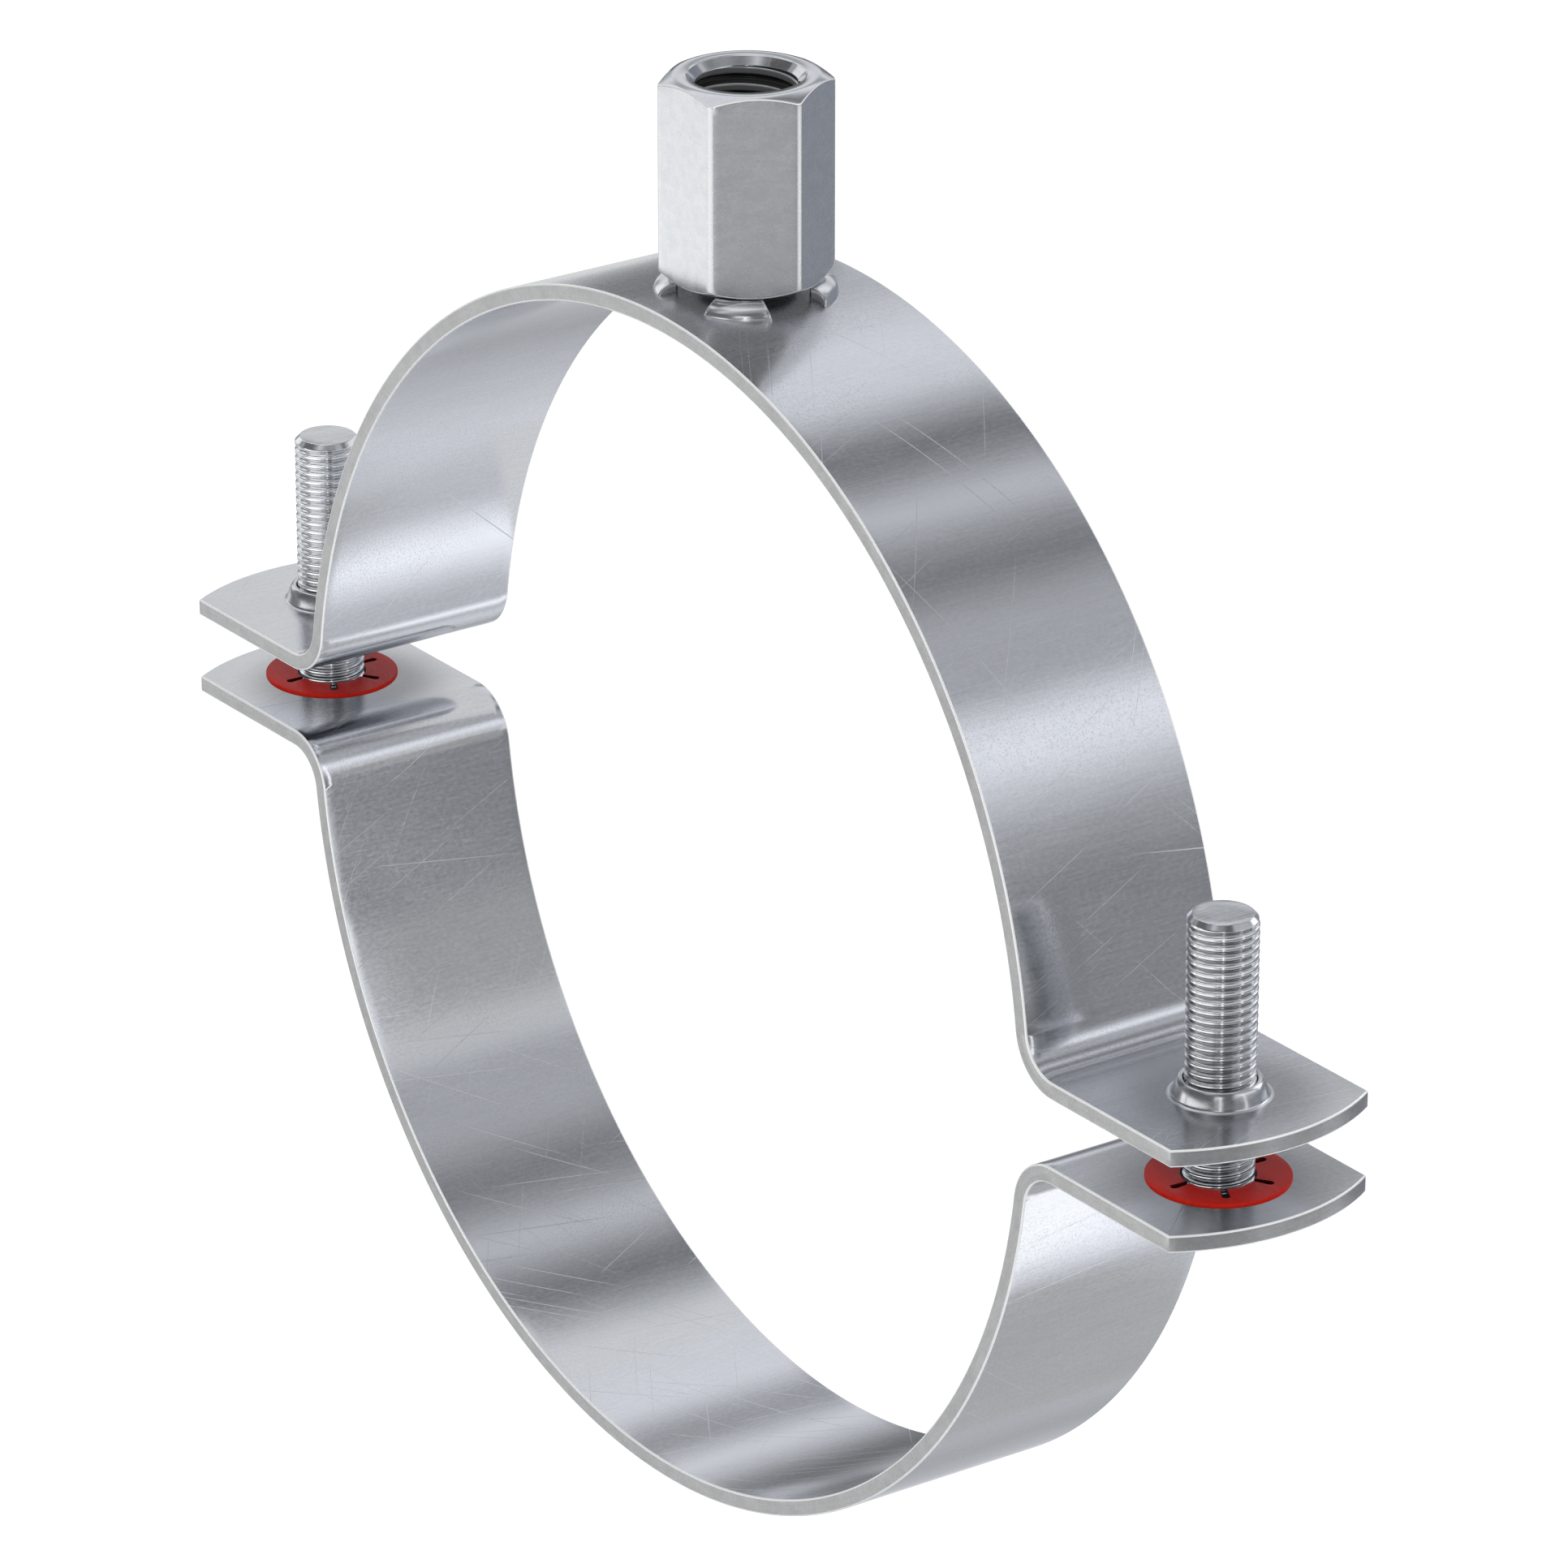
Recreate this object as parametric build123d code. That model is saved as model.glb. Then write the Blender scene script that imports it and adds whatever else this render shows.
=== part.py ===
from build123d import *
import os
from math import cos, radians, sqrt, tan

# Ventilation duct clamp: two half rings of strip, two captive screws, a welded connection nut.
# Millimetres. The origin lies on the duct axis, midway between the ears.
# X runs along the ears, Y along the duct, Z up to the connection nut.

# Strip and ring
BORE_RADIUS = 52.4
STRIP_THICKNESS = 1.5
BAND_WIDTH = 20.0
EDGE_BEVEL = 0.15

# Ears
EAR_GAP = 6.0
BEND_RADIUS = 3.5
SCREW_STANDOFF = 12.2
EAR_END = 9.3
EAR_CROWN = 2.8

# Screws
SCREW_RADIUS = 2.95
SCREW_LENGTH = 24.8
TIP_CHAMFER = 0.5
HEAD_RADIUS = 5.0
HEAD_HEIGHT = 2.55
HEAD_CHAMFER = 0.4
DRIVE_WIDTH = 1.2
DRIVE_DEPTH = 1.3
CROSS_SPAN = 5.2
THREAD_CLEARANCE = 0.05
WASHER_CLEARANCE = 0.08
EAR_CLEARANCE = 0.35

# Threaded collars drawn up out of the upper ears
COLLAR_HEIGHT = 1.5
COLLAR_LIP = 0.3
COLLAR_WALL = 0.75
COLLAR_FLANK = 0.7
COLLAR_KNEE_WALL = 0.62
COLLAR_KNEE_DROP = 0.25
COLLAR_FLARE = 0.2
COLLAR_LEAD_IN = 0.3

# Retaining washers
WASHER_RADIUS = 6.0
WASHER_THICKNESS = 0.4
SLIT_COUNT = 6
SLIT_WIDTH = 0.45
WASHER_RIM = 1.25

# Connection nut
NUT_ACROSS_FLATS = 13.0
NUT_HEIGHT = 17.7
NUT_LIFT = 0.95
NUT_TURN = 1.3
NUT_FACE_BREAK = 0.3
NUT_CHAMFER_ANGLE = 30.0
NUT_CORNER_BREAK = 0.12
NUT_BORE_RADIUS = 4.25
NUT_MOUTH_SINK = 0.75

# Weld feet between the nut and the upper half ring
FOOT_DEPTH = 3.25
FOOT_PROUD = 1.35
FOOT_TUCK = 0.4
FOOT_BROW = 1.55
FOOT_BROW_DROP = 0.35
FOOT_KNEE = 0.45
FOOT_KNEE_DROP = 0.7
FOOT_WALL_DROP = 1.3
FOOT_SPREAD = 43.4
FOOT_ANGLES = {
    "weld_foot_left": -128.4,
    "weld_foot_front": -41.2,
    "weld_foot_right": 44.9,
    "weld_foot_back": 138.8,
}

# Worked out from the sizes above
FULL_TURN = 360.0
HALF_TURN = FULL_TURN / 2
QUARTER_TURN = FULL_TURN / 4
HEX_SIDES = 6
SIDES = {"left": -1, "right": 1}
BEND_OUTER = BEND_RADIUS + STRIP_THICKNESS
RING_RADIUS = BORE_RADIUS + STRIP_THICKNESS
EAR_FACE = EAR_GAP / 2
EAR_BACK = EAR_FACE + STRIP_THICKNESS
SCREW_OFFSET = RING_RADIUS + SCREW_STANDOFF
EAR_REACH = SCREW_OFFSET + EAR_END
BEND_RISE = EAR_FACE + BEND_OUTER
BEND_REACH = sqrt((BORE_RADIUS + BEND_OUTER) ** 2 - BEND_RISE**2)
COLLAR_BORE = SCREW_RADIUS + THREAD_CLEARANCE
COLLAR_TOP = EAR_BACK + COLLAR_HEIGHT
EAR_HOLE = SCREW_RADIUS + EAR_CLEARANCE
WASHER_HOLE = SCREW_RADIUS + WASHER_CLEARANCE
SLIT_REACH = WASHER_RADIUS - WASHER_RIM
NUT_BASE = RING_RADIUS + NUT_LIFT
NUT_TOP = NUT_BASE + NUT_HEIGHT
NUT_FLAT_RADIUS = NUT_ACROSS_FLATS / 2
NUT_CORNER_RADIUS = NUT_FLAT_RADIUS / cos(radians(HALF_TURN / HEX_SIDES))
NUT_FACE_RADIUS = NUT_FLAT_RADIUS - NUT_FACE_BREAK
NUT_MOUTH_RADIUS = NUT_BORE_RADIUS + NUT_MOUTH_SINK
FOOT_RADIUS = NUT_FLAT_RADIUS + FOOT_PROUD


def turned(outline, sweep=FULL_TURN):
    """A solid turned about Z from a closed outline drawn with radius across and height up."""
    return revolve(Plane.XZ * make_face(outline), Axis.Z, sweep)


def tangent_point(radius):
    """Where an arc of the ring meets the bend into the right ear."""
    share = radius / (BORE_RADIUS + BEND_OUTER)
    return (BEND_REACH * share, BEND_RISE * share)


def bend(start, end, radius):
    """One face of the bend into the right ear."""
    chord = (Vector(*start) + Vector(*end)) / 2
    centre = Vector(BEND_REACH, BEND_RISE)
    middle = centre + (chord - centre).normalized() * radius
    return ThreePointArc(start, middle, end)


def strip_section():
    """The strip of the upper half seen along the duct, from ear to ear."""
    bore_end = tangent_point(BORE_RADIUS)
    back_end = tangent_point(RING_RADIUS)
    right = [
        bend(bore_end, (BEND_REACH, EAR_FACE), BEND_OUTER),
        Line((BEND_REACH, EAR_FACE), (EAR_REACH, EAR_FACE)),
        Line((EAR_REACH, EAR_FACE), (EAR_REACH, EAR_BACK)),
        Line((EAR_REACH, EAR_BACK), (BEND_REACH, EAR_BACK)),
        bend((BEND_REACH, EAR_BACK), back_end, BEND_RADIUS),
    ]
    left = [mirror(edge, about=Plane.YZ) for edge in right]
    bore_arc = ThreePointArc(bore_end, (0, BORE_RADIUS), (-bore_end[0], bore_end[1]))
    back_arc = ThreePointArc(back_end, (0, RING_RADIUS), (-back_end[0], back_end[1]))
    return make_face(right + left + [bore_arc, back_arc])


def plan_outline():
    """The clamp's outline from above, with the bowed ends of the ears."""
    side = BAND_WIDTH / 2
    corner = EAR_REACH - EAR_CROWN
    return make_face([
        Line((-corner, side), (corner, side)),
        ThreePointArc((corner, side), (EAR_REACH, 0), (corner, -side)),
        Line((corner, -side), (-corner, -side)),
        ThreePointArc((-corner, -side), (-EAR_REACH, 0), (-corner, side)),
    ])


def bent_strip():
    """The upper half ring with its ears, cut edges broken, before any hole."""
    strip = extrude(Plane.XZ * strip_section(), BAND_WIDTH / 2 + STRIP_THICKNESS, both=True)
    blank = extrude(plan_outline(), RING_RADIUS + STRIP_THICKNESS, both=True)
    ring = strip & blank
    return chamfer(ring.edges(), EDGE_BEVEL)


def collar():
    """One collar, turned about its own axis, from the flare on the ear to the lip."""
    wall = COLLAR_BORE + COLLAR_WALL
    return turned(Polyline(
        (0, EAR_FACE),
        (wall + COLLAR_FLARE, EAR_FACE),
        (wall + COLLAR_FLARE, EAR_BACK),
        (wall, EAR_BACK + COLLAR_FLARE),
        (wall, EAR_BACK + COLLAR_FLANK),
        (COLLAR_BORE + COLLAR_KNEE_WALL, COLLAR_TOP - COLLAR_KNEE_DROP),
        (COLLAR_BORE + COLLAR_LIP, COLLAR_TOP),
        (0, COLLAR_TOP),
        close=True,
    ))


def collar_bore():
    """The bore through ear and collar, with a lead-in where the screw enters."""
    mouth = COLLAR_BORE + COLLAR_LEAD_IN
    return turned(Polyline(
        (0, EAR_FACE),
        (mouth, EAR_FACE),
        (COLLAR_BORE, EAR_FACE + COLLAR_LEAD_IN),
        (COLLAR_BORE, COLLAR_TOP),
        (0, COLLAR_TOP),
        close=True,
    ))


def upper_band():
    """Upper half ring with a threaded collar on each ear."""
    band = bent_strip()
    for side in SIDES.values():
        place = Pos(side * SCREW_OFFSET, 0, 0)
        band = band + place * collar() - place * collar_bore()
    return band


def lower_band():
    """Lower half ring, the upper one mirrored, with a clearance hole in each ear."""
    band = mirror(bent_strip(), about=Plane.XY)
    hole = Cylinder(EAR_HOLE, STRIP_THICKNESS * 2)
    for side in SIDES.values():
        band -= Pos(side * SCREW_OFFSET, 0, -(EAR_FACE + EAR_BACK) / 2) * hole
    return band


def retaining_washer(side):
    """Slit washer lying on a lower ear, its tongues held by the screw's thread."""
    disc = Circle(WASHER_RADIUS) - Circle(WASHER_HOLE)
    slit = SlotOverall(SLIT_REACH * 2, SLIT_WIDTH)
    for turn in range(SLIT_COUNT // 2):
        disc -= Rot(0, 0, QUARTER_TURN + turn * FULL_TURN / SLIT_COUNT) * slit
    return Pos(side * SCREW_OFFSET, 0, -EAR_FACE) * extrude(disc, WASHER_THICKNESS)


def drive_recess():
    """A slot right across the head, crossed by a short one."""
    slot = Box(HEAD_RADIUS * 2, DRIVE_WIDTH, DRIVE_DEPTH * 2)
    cross = Box(DRIVE_WIDTH, CROSS_SPAN, DRIVE_DEPTH * 2)
    return slot + cross


def screw(side):
    """Low round-head screw, head up against the lower ear, tip above the collar."""
    tip = SCREW_LENGTH - EAR_BACK
    head_face = -EAR_BACK - HEAD_HEIGHT
    body = turned(Polyline(
        (0, head_face),
        (HEAD_RADIUS - HEAD_CHAMFER, head_face),
        (HEAD_RADIUS, head_face + HEAD_CHAMFER),
        (HEAD_RADIUS, -EAR_BACK),
        (SCREW_RADIUS, -EAR_BACK),
        (SCREW_RADIUS, tip - TIP_CHAMFER),
        (SCREW_RADIUS - TIP_CHAMFER, tip),
        (0, tip),
        close=True,
    ))
    return Pos(side * SCREW_OFFSET, 0, 0) * (body - Pos(0, 0, head_face) * drive_recess())


def nut_crown():
    """Turned envelope that gives the hexagon its chamfered ends."""
    drop = (NUT_CORNER_RADIUS - NUT_FACE_RADIUS) * tan(radians(NUT_CHAMFER_ANGLE))
    return turned(Polyline(
        (0, NUT_BASE),
        (NUT_FACE_RADIUS, NUT_BASE),
        (NUT_CORNER_RADIUS, NUT_BASE + drop),
        (NUT_CORNER_RADIUS, NUT_TOP - drop),
        (NUT_FACE_RADIUS, NUT_TOP),
        (0, NUT_TOP),
        close=True,
    ))


def nut_bore():
    """Bore of the nut at the thread's inner radius, with a countersunk mouth at each end."""
    return turned(Polyline(
        (0, NUT_BASE),
        (NUT_MOUTH_RADIUS, NUT_BASE),
        (NUT_BORE_RADIUS, NUT_BASE + NUT_MOUTH_SINK),
        (NUT_BORE_RADIUS, NUT_TOP - NUT_MOUTH_SINK),
        (NUT_MOUTH_RADIUS, NUT_TOP),
        (0, NUT_TOP),
        close=True,
    ))


def connection_nut():
    """Long hexagon nut, turned to the angle at which it is welded on."""
    hexagon = RegularPolygon(NUT_CORNER_RADIUS, HEX_SIDES, rotation=NUT_TURN)
    prism = extrude(Pos(0, 0, NUT_BASE) * hexagon, NUT_HEIGHT)
    prism = chamfer(prism.edges().filter_by(Axis.Z), NUT_CORNER_BREAK)
    return (prism & nut_crown()) - nut_bore()


def weld_foot(angle):
    """Squashed foot of weld metal, saddled on the ring and reaching up to the nut."""
    root = RING_RADIUS - STRIP_THICKNESS
    outline = Polyline(
        (FOOT_RADIUS - FOOT_DEPTH, root),
        (FOOT_RADIUS, root),
        (FOOT_RADIUS, NUT_BASE - FOOT_WALL_DROP),
        (FOOT_RADIUS - FOOT_KNEE, NUT_BASE - FOOT_KNEE_DROP),
        (FOOT_RADIUS - FOOT_BROW, NUT_BASE - FOOT_BROW_DROP),
        (NUT_FACE_RADIUS - FOOT_TUCK, NUT_BASE),
        (FOOT_RADIUS - FOOT_DEPTH, NUT_BASE),
        close=True,
    )
    foot = turned(outline, FOOT_SPREAD)
    foot = Rot(0, 0, angle - FOOT_SPREAD / 2) * foot
    ring = Rot(QUARTER_TURN, 0, 0) * Cylinder(RING_RADIUS, BAND_WIDTH)
    return foot - ring


def pieces():
    """Every piece of the clamp by its name."""
    clamp = {
        "upper_band": upper_band(),
        "connection_nut": connection_nut(),
        "lower_band": lower_band(),
    }
    for name, angle in FOOT_ANGLES.items():
        clamp[name] = weld_foot(angle)
    for name, side in SIDES.items():
        clamp[name + "_screw"] = screw(side)
        clamp[name + "_retaining_washer"] = retaining_washer(side)
    return clamp


os.makedirs("parts", exist_ok=True)
for piece_name, solid in pieces().items():
    export_step(solid, f"parts/{piece_name}.step")
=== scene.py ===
from math import asin, atan2, cos, pi, radians, sin, sqrt, tan

import bmesh
import bpy
import numpy as np
from mathutils import Matrix, Vector


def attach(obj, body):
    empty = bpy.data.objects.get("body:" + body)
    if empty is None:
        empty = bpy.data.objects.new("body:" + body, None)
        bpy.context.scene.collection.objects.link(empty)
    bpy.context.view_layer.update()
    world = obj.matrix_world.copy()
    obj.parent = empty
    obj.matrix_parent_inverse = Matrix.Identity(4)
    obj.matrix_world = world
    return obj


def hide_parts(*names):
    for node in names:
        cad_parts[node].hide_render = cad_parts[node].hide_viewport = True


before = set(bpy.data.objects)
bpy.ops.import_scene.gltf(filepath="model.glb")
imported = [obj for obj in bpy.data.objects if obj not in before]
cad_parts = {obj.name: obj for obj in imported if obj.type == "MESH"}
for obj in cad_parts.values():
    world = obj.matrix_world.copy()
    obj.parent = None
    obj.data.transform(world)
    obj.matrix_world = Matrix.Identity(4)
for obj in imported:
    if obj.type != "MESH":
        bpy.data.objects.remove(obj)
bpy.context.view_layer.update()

# Ventilation duct clamp: two half rings of zinc-plated strip, two captive screws with red
# retaining washers, and a long connection nut welded on top. The lengths of the pieces are
# written in millimetres, as in the part's source, and turned into metres when a mesh is made.
# Materials and the studio are in metres. X runs along the ears, Y along the duct, Z up to the nut.

MM = 0.001

# Strip, ears and bends
BORE = 52.4
STRIP = 1.5
HALF_WIDTH = 10.0
EDGE_BREAK = 0.15
FACE_EDGE = HALF_WIDTH - EDGE_BREAK
EAR_FACE = 3.0
EAR_BACK = EAR_FACE + STRIP
BEND_OUTER = 5.0
BEND_RISE = EAR_FACE + BEND_OUTER
BEND_REACH = sqrt((BORE + BEND_OUTER) ** 2 - BEND_RISE**2)
BEND_LEAN = atan2(BEND_RISE, BEND_REACH)
EAR_ROOT = BEND_REACH + 0.4
EAR_REACH = 75.4
EAR_CROWN = 2.8
SCREW_AT = 66.1

# The strip laid flat, measured along its middle from the top or bottom of the ring
RING_MIDDLE = BORE + STRIP / 2
BEND_MIDDLE = BEND_OUTER - STRIP / 2
RING_RUN = RING_MIDDLE * (pi / 2 - BEND_LEAN)
BEND_RUN = BEND_MIDDLE * (pi / 2 - BEND_LEAN)
EAR_RUN = RING_RUN + BEND_RUN - BEND_REACH
HOLE_RUN = EAR_RUN + SCREW_AT

# The lower half ring's flat metal lies this far along from the upper one's, so their marks differ
FLAT_APART = 400.0

# Radii round a screw: the collar's foot, the reach of the painted shade under the washer, and the last full
# circle of the mesh
COLLAR_FOOT = 4.4
WASHER_PAINTED_SHADE = 4.9
HOLE_RING = 4.95

# Screws and washers
SCREW_RADIUS = 2.95
SCREW_PITCH = 0.8
SCREW_TIP = 20.3
THREAD_DEPTH = 0.3
THREAD_RUNOUT = 0.28
THREAD_STOP = 0.12
PLAIN_TIP = 0.7
SHANK_IN_HEAD = 0.6
TIP_RADIUS = 2.5
TIP_SLOPE = 0.95
HEAD_RADIUS = 5.0
HEAD_HEIGHT = 2.55
HEAD_RIM_ROUND = 0.12
HEAD_FACE_ROUND = 0.55
SLOT_WIDTH = 1.2
SLOT_DEPTH = 1.3
CROSS_LENGTH = 5.2
WASHER_RADIUS = 6.0
WASHER_HOLE = 3.03
WASHER_THICKNESS = 0.4
WASHER_EDGE = 0.09
SLIT_REACH = 4.75
SLIT_WIDTH = 0.55
SLIT_MOUTH = 0.34

# Connection nut and its weld feet
NUT_FLAT = 6.5
NUT_FACE = 6.2
NUT_BASE = 54.85
NUT_TOP = 72.55
NUT_TURN = 1.3
NUT_SLOPE = tan(radians(30))
NUT_CORNER_CUT = 0.19
NUT_CORNER_SOFT = 0.06
NUT_EDGE_SOFT = 0.13
NUT_BORE = 4.25
NUT_MOUTH = 5.0
NUT_PITCH = 1.5
NUT_THREAD_DEPTH = 0.8
NUT_THREAD_START = 0.19
FOOT_ANGLES = {
    "weld_foot_left": -128.4,
    "weld_foot_front": -41.2,
    "weld_foot_right": 44.9,
    "weld_foot_back": 138.8,
}
FOOT_SPREAD = 43.4
FOOT_ROOT = 4.7
FOOT_SHOULDER = 6.0
FOOT_BULGE = 1.84
FOOT_FALL = 1.3

# How finely the meshes are divided
EDGE_STEPS = 3
RING_ROWS = 60
BEND_ROWS = 20
CROSSINGS = np.linspace(-1, 1, 25) * FACE_EDGE
SCREW_COLUMNS = 80
ROWS_PER_TURN = 18


# Meshes

class Shell:
    """Gathers rows of points into one mesh. Each point keeps its place on the flat metal."""

    def __init__(self):
        self.bm = bmesh.new()
        self.flat = self.bm.verts.layers.float_vector.new("flat")

    def grid(self, points, flats, closed=False, finish=0):
        """Quads over an array of points, rows by columns; closed joins the last column to the first."""
        rows, columns = points.shape[:2]
        verts = []
        for row, flat_row in zip(points, flats):
            line = []
            for point, flat in zip(row, flat_row):
                vert = self.bm.verts.new(Vector(point) * MM)
                vert[self.flat] = Vector(flat) * MM
                line.append(vert)
            verts.append(line)
        last = columns if closed else columns - 1
        for i in range(rows - 1):
            for j in range(last):
                k = (j + 1) % columns
                face = self.bm.faces.new((verts[i][j], verts[i][k], verts[i + 1][k], verts[i + 1][j]))
                face.material_index = finish
                face.smooth = True

    def mesh(self, name):
        """The welded mesh, with its normals outward."""
        bmesh.ops.remove_doubles(self.bm, verts=self.bm.verts, dist=1e-7)
        bmesh.ops.dissolve_degenerate(self.bm, edges=self.bm.edges, dist=1e-8)
        bmesh.ops.recalc_face_normals(self.bm, faces=self.bm.faces)
        made = bpy.data.meshes.new(name)
        self.bm.to_mesh(made)
        self.bm.free()
        return made


def placed(mesh, name, body, slot, *nodes, finishes=()):
    """Puts a mesh into the scene as a piece that rides on a body and stands for CAD nodes."""
    piece = bpy.data.objects.new(name, mesh)
    bpy.context.scene.collection.objects.link(piece)
    for finish in finishes:
        mesh.materials.append(finish)
    steady = piece.modifiers.new("steady_normals", "WEIGHTED_NORMAL")
    steady.weight = 80
    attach(piece, body)
    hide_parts(*nodes)
    return piece


def corner_arc():
    """Shares of outward and upward travel round a rounded edge, from the top face to the side."""
    angles = np.linspace(0, pi / 2, EDGE_STEPS + 1)
    return np.sin(angles), np.cos(angles)


def on_strip(run, height):
    """Place in the upper half, seen along the duct, of a point of the flat strip."""
    side = np.where(run < 0, -1.0, 1.0)
    along = np.abs(run)
    turn = pi / 2 - np.minimum(along, RING_RUN) / RING_MIDDLE
    ring = (BORE + height) * np.cos(turn), (BORE + height) * np.sin(turn)
    swing = pi + BEND_LEAN + np.clip(along - RING_RUN, 0, BEND_RUN) / BEND_MIDDLE
    radius = BEND_OUTER - height
    bend = BEND_REACH + radius * np.cos(swing), BEND_RISE + radius * np.sin(swing)
    ear = BEND_REACH + along - RING_RUN - BEND_RUN, EAR_FACE + height
    x = np.where(along < RING_RUN, ring[0], np.where(along < RING_RUN + BEND_RUN, bend[0], ear[0]))
    z = np.where(along < RING_RUN, ring[1], np.where(along < RING_RUN + BEND_RUN, bend[1], ear[1]))
    return side * x, z


def strip_section():
    """Closed section of the strip as (across, height), with its edges rounded."""
    out, up = corner_arc()
    top = [(y, STRIP) for y in CROSSINGS]
    right = [
        (FACE_EDGE + EDGE_BREAK * o, STRIP - EDGE_BREAK + EDGE_BREAK * u) for o, u in zip(out[1:], up[1:])
    ]
    right += [(y, STRIP - h) for y, h in right[::-1]]
    right += [(FACE_EDGE, 0.0)]
    bottom = [(y, 0.0) for y in CROSSINGS[::-1][1:]]
    left = [(-y, h) for y, h in right[-2::-1]]
    return np.array(top + right + bottom + left)


def ear_outline():
    """The ear's face from above as inset points with the ways that their edge faces."""
    crown = (HALF_WIDTH**2 + EAR_CROWN**2) / (2 * EAR_CROWN)
    centre = EAR_REACH - crown
    reach = crown - EDGE_BREAK
    corner = centre + sqrt(reach**2 - FACE_EDGE**2)
    lean = asin(HALF_WIDTH / crown)
    near_side = [(x, -FACE_EDGE, 0.0, -1.0) for x in np.linspace(EAR_ROOT, corner, 34)]
    near_side += [(corner, -FACE_EDGE, sin(a), -cos(a)) for a in np.linspace(0, pi / 2 - lean, 4)[1:]]
    sweep = asin(FACE_EDGE / reach)
    end = [
        (centre + reach * cos(a), reach * sin(a), cos(a), sin(a))
        for a in np.linspace(-sweep, sweep, 34)[1:-1]
    ]
    far_side = [(x, -y, nx, -ny) for x, y, nx, ny in near_side[::-1]]
    return np.array(near_side + end + far_side)


def lay_out(upper):
    """Which way up a half ring stands, and where its flat metal starts."""
    return (1, 0) if upper else (-1, FLAT_APART)


def half_ring(name, body, node, upper, finishes):
    """One half ring with its two ears, made in the flat and bent; the upper one has its collars."""
    shell = Shell()
    lift, start = lay_out(upper)
    half = np.concatenate([
        np.linspace(0, RING_RUN, RING_ROWS),
        np.linspace(RING_RUN, RING_RUN + BEND_RUN, BEND_ROWS)[1:],
        [EAR_RUN + EAR_ROOT],
    ])
    runs = np.concatenate([-half[:0:-1], half])
    section = strip_section()
    run, across = np.meshgrid(runs, section[:, 0], indexing="ij")
    height = np.broadcast_to(section[:, 1], run.shape)
    x, z = on_strip(run, height)
    points = np.stack([x, across, z * lift], -1)
    flats = np.stack([run + start, across, height], -1)
    shell.grid(points, flats, closed=True)
    for side in (-1, 1):
        strip_ear(shell, side, upper)
    mesh = shell.mesh(name)
    mark_finishes(mesh, upper)
    return placed(mesh, name, body, "zinc_plated_strip", node, finishes=finishes)


def mark_finishes(mesh, upper):
    """Finish 1 for sheared sides and, as a painted shadow line, the far side's steep bevels; 2 for other
    broken edges, painted as highlights; 3 for collars; 4 for painted shade under a washer.
    """
    flats = np.empty(len(mesh.vertices) * 3, np.float32)
    mesh.attributes["flat"].data.foreach_get("vector", flats)
    height = flats.reshape(-1, 3)[:, 2] / MM
    # Heights on the strip: what counts as none, as the gap face, and as the steep part of an edge
    slack = 1e-4
    gap_face = 0.06
    steep = 0.04
    for face in mesh.polygons:
        at = height[list(face.vertices)]
        low, high = at.min(), at.max()
        off = Vector((abs(face.center.x) - SCREW_AT * MM, face.center.y)).length / MM
        if off < COLLAR_FOOT and high > STRIP + slack:
            face.material_index = 3
        # Painted shade: the gap face under a washer, seen only through its slits, is nearly black
        elif not upper and off < WASHER_PAINTED_SHADE and high < gap_face:
            face.material_index = 4
        elif low > EDGE_BREAK - slack and high < STRIP - EDGE_BREAK + slack and high - low > 1:
            face.material_index = 1
        elif high - low > slack and low > -slack and high < STRIP + slack and high - low < EDGE_BREAK + slack:
            # Broken edges are painted as highlights, but on the far side their steep faces keep the sheared
            # side's colour as a painted shadow line
            far_painted_shadow_line = face.center.y > FACE_EDGE * MM and high - low > steep
            face.material_index = 1 if far_painted_shadow_line else 2


# Profiles of the holes in the ears, from the ear's back to its gap face: radius from the screw's
# axis, height above the gap face, and radius on the flat metal
FLARE = [
    (4.34, 1.500, 4.34), (4.22, 1.504, 4.22), (4.12, 1.520, 4.11), (4.04, 1.560, 4.02), (3.98, 1.630, 3.92),
]
FLANK = [
    (3.94, 1.730, 3.81), (3.89, 1.900, 3.63), (3.83, 2.080, 3.44), (3.77, 2.260, 3.25), (3.70, 2.440, 3.06),
    (3.62, 2.620, 2.88), (3.53, 2.790, 2.70),
]
SHOULDER = [(3.44, 2.900, 2.55), (3.35, 2.970, 2.43), (3.26, 3.000, 2.33)]
LIP = [(3.17, 2.990, 2.24), (3.09, 2.945, 2.15), (3.03, 2.860, 2.05), (3.00, 2.750, 1.90)]
COLLAR_BORE = [(3.00, 1.500, 0.60), (3.00, 0.320, -0.60)]
LEAD_IN = [(3.05, 0.200, -0.70), (3.28, 0.010, -0.90), (3.34, 0.000, -1.00)]
COLLAR = FLARE + FLANK + SHOULDER + LIP + COLLAR_BORE + LEAD_IN
CLEARANCE = [
    (3.42, 1.500, 3.42), (3.36, 1.490, 3.36), (3.31, 1.450, 3.30), (3.30, 1.390, 3.25),
    (3.30, 0.110, 2.00), (3.31, 0.050, 1.95), (3.36, 0.010, 1.90), (3.42, 0.000, 1.85),
]


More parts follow.
